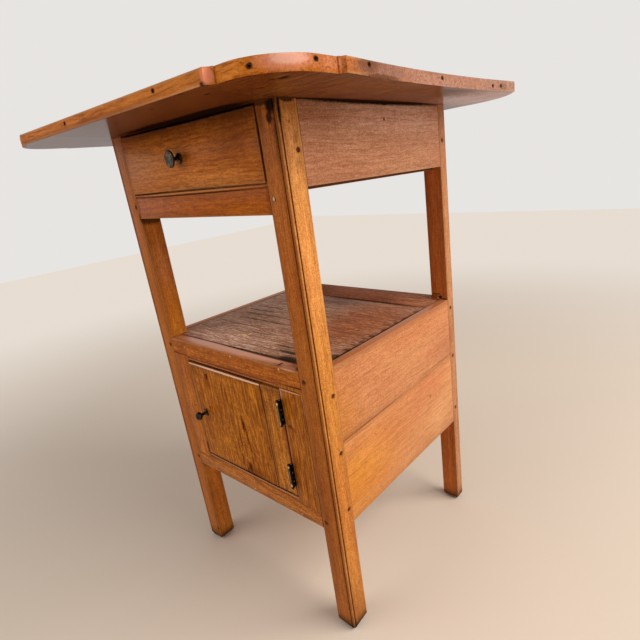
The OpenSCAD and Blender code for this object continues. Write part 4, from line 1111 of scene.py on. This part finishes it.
board("latch_stile", "stile_at_latch",
      wood("latch_stile_varnish", "z", tone(207, 121, 40), (400, 20, 90), wear=0.3,
           depths={"Fibre depth": 1.1, "Figure depth": 0.7},
           spots=[((-134, -167, 384), (30, 5, 50), 0.5, tone(170, 92, 32), 1.0),
                  # Dark lines at the edge next to the door: painted shadow and dirt.
                  ((-115, -167, 250), (2.6, 5, 60), 0.8, BURNT),
                  ((-115, -167, 330), (1.5, 5, 80), 0.7, BURNT),
                  ((-117, -167, 226), (3.4, 5, 16), 0.8, BURNT),
                  ((-125.6, -167, 307), (2.6, 4, 2.6), 0.9, BURNT)]), width=0.0006)
board("hinge_stile", "stile_at_hinges",
      wood("hinge_stile_varnish", "z", tone(196, 117, 28), (800, 20, 10), wear=0.3,
           depths={"Fibre depth": 1.8, "Figure depth": 0.9, "Ring depth": 0.7},
           spots=[((119, -167, 337), (7, 5, 4), 0.75, DOOR_DARK),
                  ((126, -167, 333), (6, 5, 5), 0.6, DOOR_DARK),
                  ((122, -167, 324), (3, 5, 14), 0.5, DOOR_DARK, 1.0),
                  ((115, -167, 280), (3, 5, 30), 0.4, DOOR_DARK, 1.0),
                  ((132, -167, 240), (3, 5, 30), 0.35, DOOR_DARK, 1.0),
                  ((110.2, -167, 300), (1.5, 4, 150), 0.5, tone(206, 120, 70)),
                  ((110.3, -167, 386), (1.5, 4, 9), 0.75, tone(226, 168, 140)),
                  ((128, -167, 393.6), (30, 4, 1.5), 0.8, tone(226, 168, 140)),
                  ((132, -167, 395.4), (30, 4, 1.0), 0.9, BURNT),
                  ((153.4, -167, 380), (1.4, 4, 26), 0.6, tone(214, 150, 110)),
                  ((154, -167, 300), (1.2, 4, 200), 0.6, DIRT_AND_SHADE)]), width=0.0006)

# %% [markdown]
# ## The shelf
# The shelf is the cupboard's lid and takes all the water, soap and dust of a washstand. Its
# boards are nearly bare and grey-brown, with raised grain and black dirt in the joints. It
# uses the same grain group, at stronger depths, with a rough surface and no coat.

# %% The shelf
SOOT = tone(58, 28, 16)
SHELF_LEVEL = 428
SHELF_AREAS = [
    # The pale area at the front left is painted glare.
    (-60, -150, 190, 110, 1.0, tone(232, 190, 168), 1.0),
    (-60, 110, 160, 60, 0.5, tone(140, 96, 76), 1.0), (-10, 100, 90, 44, 0.9, tone(126, 88, 66), 0.8),
    (112, 20, 120, 170, 0.9, tone(160, 94, 52), 0.8),
]
SHELF_MARKS = [
    (90, -110, 40, 30, 0.5, tone(150, 108, 92), 1.0), (60, -148, 120, 3.4, 0.85, BURNT),
    # (-140, -130) adds to the painted glare at the front left.
    (110, -138, 44, 14, 0.6, BURNT, 1.0), (-140, -130, 60, 40, 0.8, tone(226, 184, 164), 1.0),
    (60, 117, 150, 5, 0.9, BURNT), (-60, -149, 120, 3, 0.7, BURNT), (96, -126, 34, 5, 0.85, BURNT),
    (112, -144, 30, 8, 0.9, BURNT), (70, -112, 22, 3, 0.7, BURNT), (171, -92, 5, 50, 0.85, BURNT),
    (171, -10, 4, 56, 0.7, BURNT), (164, -66, 9, 4, 0.6, BURNT), (171, 60, 3.4, 70, 0.7, BURNT),
    (158, -24, 14, 3, 0.4, BURNT), (160, 22, 12, 3, 0.35, BURNT), (165, -110, 9, 12, 0.7, BURNT),
    (168, -84, 12, 6, 0.7, BURNT), (167, -52, 7, 9, 0.6, SOOT), (168, -28, 10, 6, 0.65, SOOT),
    (169, 0, 6, 9, 0.6, SOOT), (168, 34, 7, 5, 0.55, SOOT), (169, 58, 5, 9, 0.5, SOOT),
    (167, 92, 6, 6, 0.5, SOOT), (150, 4, 20, 2, 0.3, BURNT), (162, -40, 10, 3, 0.5, BURNT),
    (-60, -42, 90, 3, 0.6, BURNT), (-100, -18, 70, 4, 0.6, BURNT), (-110, 0, 60, 3, 0.6, BURNT),
    (-120, 20, 50, 3, 0.5, BURNT), (-80, -70, 60, 2.4, 0.5, BURNT), (-20, -88, 40, 2.4, 0.5, BURNT),
    (10, -20, 50, 3, 0.4, BURNT), (-30, 60, 90, 4, 0.4, BURNT), (30, 30, 60, 3, 0.4, BURNT),
    (30, -128, 50, 2.4, 0.4, BURNT),
]
SHELF_PALE_SPOTS = [
    (-36, -105, 7, 4, 0.85, tone(236, 206, 140)), (-29, -98, 2.5, 6, 0.8, tone(236, 206, 140)),
    (-44, -110, 3, 5, 0.7, tone(236, 206, 140)), (125, -13, 3, 2.5, 0.7, tone(210, 150, 110)),
]
shelf_spots = (flat_marks(2, SHELF_LEVEL, 6, SHELF_AREAS)
               + flat_marks(2, SHELF_LEVEL, 4, SHELF_MARKS)
               + flat_marks(2, SHELF_LEVEL, 3, SHELF_PALE_SPOTS))
shelf_depths = {"Ring depth": 1.0, "Fibre depth": 1.3, "Fleck depth": 1.0, "Mottle depth": 0.6,
                "Cloud depth": 0.9, "Figure depth": 1.1, "Ripple depth": 0.0}
board("shelf_front_board", "shelf_front",
      wood("shelf_front_worn", "x", tone(184, 144, 120), (33, 120, 0), gloss=0.6, coat=0.0, bump=0.6,
           wear=0.2, reach=3, ring_width=10, depths=shelf_depths, spots=shelf_spots), width=0.0008)
board("shelf_back_board", "shelf_back",
      wood("shelf_back_worn", "x", tone(142, 78, 42), (733, 60, 0), gloss=0.6, coat=0.0, bump=0.5,
           wear=0.3, ring_width=14, depths=shelf_depths,
           spots=[((-170, 150, 428), (150, 60, 6), 0.7, tone(80, 50, 36), 1.0),
                  ((150, 150, 428), (100, 60, 6), 0.9, tone(196, 130, 94), 1.0),
                  ((40, 118.5, 428), (150, 3, 4), 0.85, BURNT),
                  ((60, 188, 428), (150, 4, 4), 0.6, BURNT)]), width=0.001)

# %% [markdown]
# ## Inside and under
# Runners, guides, cleats, battens, the cupboard's floor and the drawer's box were left without
# varnish. They are lighter and duller than the show wood. The cupboard's back has a dull varnish.

# %% Inside and under
PLAIN = {
    "drawer_runner_left": "y", "drawer_runner_right": "y", "drawer_guide_left": "y",
    "drawer_guide_right": "y", "shelf_cleat_left": "y", "shelf_cleat_right": "y",
    "cupboard_floor": "x", "floor_cleat_left": "y", "floor_cleat_right": "y",
    "door_batten_upper": "x", "door_batten_lower": "x", "drawer_side_left": "y",
    "drawer_side_right": "y", "drawer_back": "x", "drawer_bottom": "x",
}
for count, (node, along) in enumerate(PLAIN.items()):
    board(node, node + "_plain",
          wood(node + "_bare", along, tone(198, 158, 112), (count * 170, 20 + 9 * count, 30),
               gloss=0.62, coat=0.0, wear=0.25), width=0.0005)
board("cupboard_back", "back_of_cupboard",
      wood("cupboard_back_varnish", "x", tone(196, 130, 74), (71, 140, 40), gloss=0.5), width=0.0006)

# %% [markdown]
# ## The door
# The door is one wide board with a narrow strip beside it at the hinges, held by two battens
# behind. Its wood is the liveliest of the piece: upright streaks that swing round small knots.
# A knot pushes the grain sideways, which is done by shifting the place that the grain reads.

# %% The door
DOOR_FRONT = -168
DOOR_MARKS = [
    (-70, 362, 16, 26, 0.5, DOOR_DARK, 1.0), (-69, 374, 6, 8, 0.85, DOOR_DARK),
    (-67, 375, 2.4, 6, 0.8, BURNT), (-104, 376, 20, 14, 0.4, DOOR_DARK, 1.0),
    (-92, 350, 2, 40, 0.45, DOOR_DARK), (-48, 340, 2, 44, 0.45, DOOR_DARK),
    (-23, 352, 3, 20, 0.75, DOOR_DARK), (-31, 360, 2, 14, 0.6, DOOR_DARK),
    (-12, 336, 2, 26, 0.6, DOOR_DARK), (24, 350, 2, 30, 0.45, DOOR_DARK),
    (56, 350, 2.4, 38, 0.7, DOOR_DARK), (47, 340, 1.8, 30, 0.5, DOOR_DARK),
    (6, 316, 3, 12, 0.8, DOOR_DARK), (8, 306, 5, 15, 0.9, DOOR_DARK), (7, 307, 2.2, 9, 0.9, BURNT),
    (12, 288, 3.4, 20, 0.9, DOOR_DARK), (15, 270, 2.6, 16, 0.75, DOOR_DARK),
    (-7, 278, 2.6, 24, 0.8, DOOR_DARK), (-16, 262, 2.2, 20, 0.65, DOOR_DARK),
    (1, 262, 2.2, 20, 0.7, DOOR_DARK), (22, 258, 2.2, 16, 0.65, DOOR_DARK),
    (30, 272, 2, 14, 0.5, DOOR_DARK), (-26, 246, 2, 18, 0.5, DOOR_DARK),
    (4, 229, 7, 12, 0.95, DOOR_DARK), (4, 228, 3.6, 9, 0.95, BURNT), (-4, 222, 3, 5, 0.8, BURNT),
    (20, 226, 50, 18, 0.65, DOOR_DARK, 1.0), (-12, 238, 2.6, 16, 0.75, DOOR_DARK),
    (14, 243, 2.4, 15, 0.75, DOOR_DARK), (26, 236, 2.2, 14, 0.6, DOOR_DARK),
    (40, 238, 2.2, 18, 0.6, DOOR_DARK), (52, 250, 2, 20, 0.45, DOOR_DARK),
    (64, 278, 2.8, 16, 0.7, DOOR_DARK), (-78, 316, 5, 4, 0.7, DOOR_DARK),
    (-86, 309, 10, 4, 0.5, DOOR_DARK), (-93, 303, 9, 9, 0.75, BURNT),
    (36, 300, 26, 40, 0.4, tone(222, 142, 28), 1.0), (50, 325, 34, 80, 0.4, tone(222, 140, 30), 1.0),
    (-80, 250, 30, 30, 0.3, tone(216, 140, 22), 1.0),
]
DOOR_EDGES = [
    # The door's top face in the gap above it: painted shade.
    ((-24, -160, 391), (200, 7.4, 2), 0.8, tone(96, 40, 18)),
    # The pale upper arris: painted highlight.
    ((-24, -168.5, 390.3), (200, 2.4, 2.0), 0.95, tone(255, 212, 184)),
    # The dark left edge at the gap: painted shadow and dirt.
    ((-114, -168, 303), (1.6, 7, 100), 0.85, BURNT),
    # The dark lower edge: painted shadow and dirt.
    ((-24, -168, 214.6), (190, 9, 4.6), 1.0, BURNT, 0.4), ((10, -168, 215), (60, 9, 6), 0.8, BURNT),
    ((67, -168, 370), (1.3, 12, 40), 0.8, DOOR_DARK),
    ((67, -168, 290), (1.0, 12, 120), 0.4, DOOR_DARK),
    ((-96, -168, 386), (30, 8, 10), 0.4, DOOR_DARK, 1.0),
]
door_finish = wood(
    "door_varnish", "z", tone(204, 122, 20), (140, 25, 60), wear=0.6, reach=2.4, ring_width=4.2,
    wander=18, seam=0.45,
    depths={"Ring depth": 1.0, "Fibre depth": 1.5, "Cloud depth": 0.4, "Figure depth": 0.95,
            "Ripple depth": 0.6, "Mottle depth": 0.5},
    knots=[((4, -168, 226), (44, 30, 74), 40.0), ((8, -168, 305), (18, 30, 44), 12.0)],
    spots=flat_marks(1, DOOR_FRONT, 8, DOOR_MARKS) + DOOR_EDGES,
)
board("door_board", "door_panel", door_finish, width=0.0014, segments=3)
board("door_strip", "door_edge_strip",
      wood("door_strip_varnish", "z", tone(212, 133, 42), (910, 45, 70), wear=0.4, ring_width=7, seam=0.4,
           depths={"Fibre depth": 1.6, "Figure depth": 0.9, "Ripple depth": 0.5},
           spots=[((104, -167, 358), (7, 8, 22), 0.3, BURNT), ((104, -167, 255), (7, 8, 22), 0.3, BURNT),
                  ((67, -167, 360), (1.2, 8, 50), 0.6, DOOR_DARK),
                  ((107, -167, 303), (1.4, 7, 110), 0.9, BURNT),
                  ((105, -167, 303), (2.6, 4, 110), 0.5, tone(150, 66, 40)),
                  ((88, -167, 384), (30, 8, 16), 0.55, tone(134, 62, 24), 1.0),
                  # Its dark lower edge: painted shadow and dirt.
                  ((87, -167, 214.6), (40, 9, 3.6), 1.0, BURNT),
                  ((70, -167, 362), (3, 8, 24), 0.5, DOOR_DARK)]),
      width=0.0008)

# %% [markdown]
# ## The drawer front
# A plain board, a hair smaller than its opening, with the grain from side to side and the fine
# cross ripple of its wood. The dark halo round the knob is its painted shadow; the top's shadow is
# painted across the upper edge and the right end, and the gaps round the board are painted black
# as shade.

# %% The drawer front
DRAWER_FACE = -169
DRAWER_MARKS = [
    (-80, 700, 110, 60, 0.75, tone(214, 130, 26), 1.0),
    # (40, 747) is the top's painted shadow across the upper edge.
    (60, 668, 150, 26, 0.7, tone(236, 156, 78), 1.0), (40, 747, 230, 22, 0.3, tone(110, 44, 24)),
    # Both rows: painted shade at the right end, under the top.
    (125, 738, 50, 22, 0.35, DIRT_AND_SHADE, 1.0), (110, 712, 70, 44, 0.45, tone(110, 50, 26), 1.0),
    # The dark halo round the knob: painted shadow.
    (8, 704, 16, 8, 0.5, DIRT_AND_SHADE, 1.0), (-10, 696, 12, 9, 0.5, DIRT_AND_SHADE, 1.0),
    # (-8, 702.5) darkens the knob's painted shadow; (0, 744) is painted shade in the gap under the top.
    (-8, 702.5, 9, 9, 0.8, BURNT), (0, 744, 190, 3.5, 0.9, BURNT),
]
# Black lines in the gaps round the drawer front: painted shade.
DRAWER_EDGES = [
    ((50, -169, 744), (190, 10, 3.6), 0.97, BURNT), ((153, -169, 700), (1.0, 3, 60), 0.3, BURNT),
    ((-153, -169, 700), (1.6, 5, 60), 1.0, BURNT), ((0, -169, 661.5), (220, 6, 2.2), 1.0, BURNT),
]
board("drawer_front", "drawer_face",
      wood("drawer_front_varnish", "x", tone(212, 124, 48), (210, 35, 640), wear=0.35, ring_width=11,
           depths={"Mottle depth": 0.4, "Figure depth": 0.5, "Cloud depth": 0.3, "Fibre depth": 0.75},
           spots=flat_marks(1, DRAWER_FACE, 8, DRAWER_MARKS) + DRAWER_EDGES),
      width=0.0007)

# %% [markdown]
# ## Pegs and nails
# The joints are pinned with wooden pegs whose ends stand flush and have gone dark. One end, under
# the drawer, has a pale spot. The nails are made with the ironwork.

# %% Pegs
PALE_PEG = [((160.6, -167, 643.8), (1.9, 4, 3.2), 1.0, (0.80, 0.62, 0.42, 1))]
for node in ("top_pegs", "rail_pegs", "side_pegs", "back_pegs"):
    board(node, node + "_ends",
          wood(node + "_wood", "x", tone(96, 42, 18), (9, 8, 7), gloss=0.5, wear=0.0,
               spots=PALE_PEG if node == "rail_pegs" else ()), width=0.0004,
          segments=2, shortest=0.0)

# %% [markdown]
# ## Metal
# The knobs and hinges are brass gone nearly black, with yellower metal in patches. One group
# mixes the dark skin and the rubbed metal by noise; its roughness follows.
# The hinges also have a few painted highlights along their barrels.

# %% Metal materials
patina, taken, given = open_group(
    "Patina",
    [("Place", "V", (0, 0, 0)), ("Skin", "C", (0.03, 0.025, 0.02, 1)),
     ("Bare", "C", (0.4, 0.28, 0.14, 1)), ("Rubbed", "F", 0.3)],
    [("Color", "C"), ("Roughness", "F"), ("Height", "F")],
)
blotch = place(patina, "ShaderNodeTexNoise",
               {"Vector": taken["Place"], "Scale": 0.16, "Detail": 2.0, "Roughness": 0.6})
pits = place(patina, "ShaderNodeTexNoise",
             {"Vector": taken["Place"], "Scale": 1.4, "Detail": 3.0, "Roughness": 0.7})
rubbed = times(patina, ramp(patina, blotch.outputs["Fac"], 0.45, 0.7), taken["Rubbed"])
patina.links.new(mix_colour(patina, rubbed, taken["Skin"], taken["Bare"]), given.inputs["Color"])
dull = reckon(patina, "SUBTRACT", 0.27, times(patina, rubbed, 0.1))
dull = plus(patina, dull, times(patina, pits.outputs["Fac"], 0.12))
patina.links.new(dull, given.inputs["Roughness"])
patina.links.new(pits.outputs["Fac"], given.inputs["Height"])


def metal(name, skin, bare, rubbed, streaks=()):
    """A dark metal with rubbed places; streaks lists (centre, size, colour) of painted highlights."""
    finish = bpy.data.materials.new(name)
    finish.use_nodes = True
    tree = finish.node_tree
    shader = tree.nodes["Principled BSDF"]
    look = use_group(tree, patina, {"Place": own_place(tree), "Skin": skin, "Bare": bare,
                                    "Rubbed": rubbed}).outputs
    shown = look["Color"]
    for centre, size, colour in streaks:
        streak_mark = use_group(tree, spot, {"Place": own_place(tree), "Centre": centre, "Size": size,
                                             "Ragged": 0.3})
        shown = mix_colour(tree, streak_mark.outputs["Mask"], shown, colour)
    tree.links.new(shown, shader.inputs["Base Color"])
    tree.links.new(look["Roughness"], shader.inputs["Roughness"])
    raised = place(tree, "ShaderNodeBump", {"Height": look["Height"], "Strength": 0.1, "Distance": 0.0001})
    tree.links.new(raised.outputs["Normal"], shader.inputs["Normal"])
    shader.inputs["Metallic"].default_value = 0.85
    return finish


BARREL = (108.9, -175.3)
brass = metal("dark_brass_skin", tone(34, 26, 18), tone(140, 108, 74), 0.45)
# The bright lines on the barrels are painted highlights.
hinge_brass = metal("hinge_brass_skin", tone(26, 22, 17), tone(60, 50, 38), 0.3, streaks=[
    ((*BARREL, 358), (1.1, 1.8, 26), tone(150, 140, 96)),
    ((*BARREL, 374), (1.7, 2.0, 3), tone(214, 202, 160)),
    ((*BARREL, 344), (1.2, 1.8, 5), tone(178, 168, 124)),
    ((*BARREL, 256), (1.0, 1.8, 22), tone(132, 122, 98)),
    ((*BARREL, 272), (1.6, 2.0, 2.6), tone(206, 194, 166)),
    ((*BARREL, 241), (1.4, 2.0, 4), tone(206, 196, 172))])
iron = metal("iron_skin", tone(48, 38, 34), tone(120, 96, 80), 0.4)
print("metals", brass.name, iron.name)

# %% [markdown]
# ## Hinges and small ironwork
# Leaves, pins, screws, nails, nuts and the latch's tongue are copied like the boards, with
# finer bevels, and get one of the metals.

# %% Hinges and small ironwork
for node in ("upper_hinge_stile_leaf", "upper_hinge_door_leaf", "upper_hinge_pin",
             "lower_hinge_stile_leaf", "lower_hinge_door_leaf", "lower_hinge_pin"):
    board(node, node + "_metal", hinge_brass, width=0.00025, shortest=0.0)
for node in ("stile_screws", "door_screws", "guide_nails", "rail_nails", "batten_nails",
             "latch_tongue", "latch_nut", "drawer_bottom_nails", "drawer_knob_nut"):
    board(node, node + "_metal", iron, width=0.0002, shortest=0.0)

# %% [markdown]
# ## Knobs
# Both knobs are turned, so each is a profile spun round its axis: a few points from the root to
# the crown are joined in a line, spun through a full turn, and merged where the ends meet.

# %% Knobs
SPINDLE_RADIUS = 0.0022
SPINDLE_START = 0.0003
KNOB_STEPS = 48
DRAWER_PROFILE = [
    (0.0050, 0.0003), (0.0064, 0.0006), (0.0066, 0.0014), (0.0058, 0.0026), (0.0040, 0.0036),
    (0.0028, 0.0046), (0.0024, 0.0066), (0.0025, 0.0090), (0.0034, 0.0108), (0.0055, 0.0120),
    (0.0088, 0.0127), (0.0106, 0.0132), (0.0110, 0.0138), (0.0110, 0.0144), (0.0106, 0.0150),
    (0.0098, 0.0153), (0.0090, 0.0150), (0.0060, 0.0153), (0.0, 0.0154),
]
DOOR_PROFILE = [
    (0.0048, 0.0003), (0.0050, 0.0008), (0.0049, 0.0016), (0.0038, 0.0024), (0.0030, 0.0034),
    (0.0026, 0.0060), (0.0027, 0.0088), (0.0034, 0.0104), (0.0056, 0.0114), (0.0067, 0.0124),
    (0.0071, 0.0136), (0.0070, 0.0150), (0.0064, 0.0168), (0.0052, 0.0184), (0.0036, 0.0194),
    (0.0018, 0.0199), (0.0, 0.0200),
]


def turned_knob(name, node, front, profile):
    """Spins a profile of (radius, distance out) points round the knob's axis, which is -Y. The
    knob stands on the face of the board front, and its spindle is as long as the CAD knob's."""
    low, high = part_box(node)
    x, y, z = (low.x + high.x) / 2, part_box(front)[0].y, (low.z + high.z) / 2
    length = high.y - y
    bpy.ops.object.select_all(action="DESELECT")
    bpy.ops.mesh.primitive_circle_add(vertices=3, radius=0.001, location=(0, 0, 0))
    knob = bpy.context.object
    knob.name = name
    bpy.ops.object.mode_set(mode="EDIT")
    bpy.ops.mesh.select_all(action="SELECT")
    bpy.ops.mesh.delete(type="VERT")
    net = bmesh.from_edit_mesh(knob.data)
    outline = [(0.0, -length), (SPINDLE_RADIUS, -length), (SPINDLE_RADIUS, SPINDLE_START), *profile]
    points = [net.verts.new((x + r, y - out, z)) for r, out in outline]
    for first, second in zip(points, points[1:]):
        net.edges.new((first, second))
    bmesh.update_edit_mesh(knob.data)
    bpy.ops.mesh.select_all(action="SELECT")
    bpy.ops.mesh.spin(steps=KNOB_STEPS, angle=math.tau, center=(x, y, z), axis=(0, 1, 0))
    bpy.ops.mesh.select_all(action="SELECT")
    bpy.ops.mesh.remove_doubles(threshold=0.00001)
    bpy.ops.mesh.normals_make_consistent(inside=False)
    bpy.ops.object.mode_set(mode="OBJECT")
    mark_box(knob)
    shade(knob, 40)
    settle(knob, node, brass)
    print(name, len(knob.data.polygons), "faces")


turned_knob("drawer_pull", "drawer_knob", "drawer_front", DRAWER_PROFILE)
turned_knob("door_pull", "door_knob", "door_board", DOOR_PROFILE)
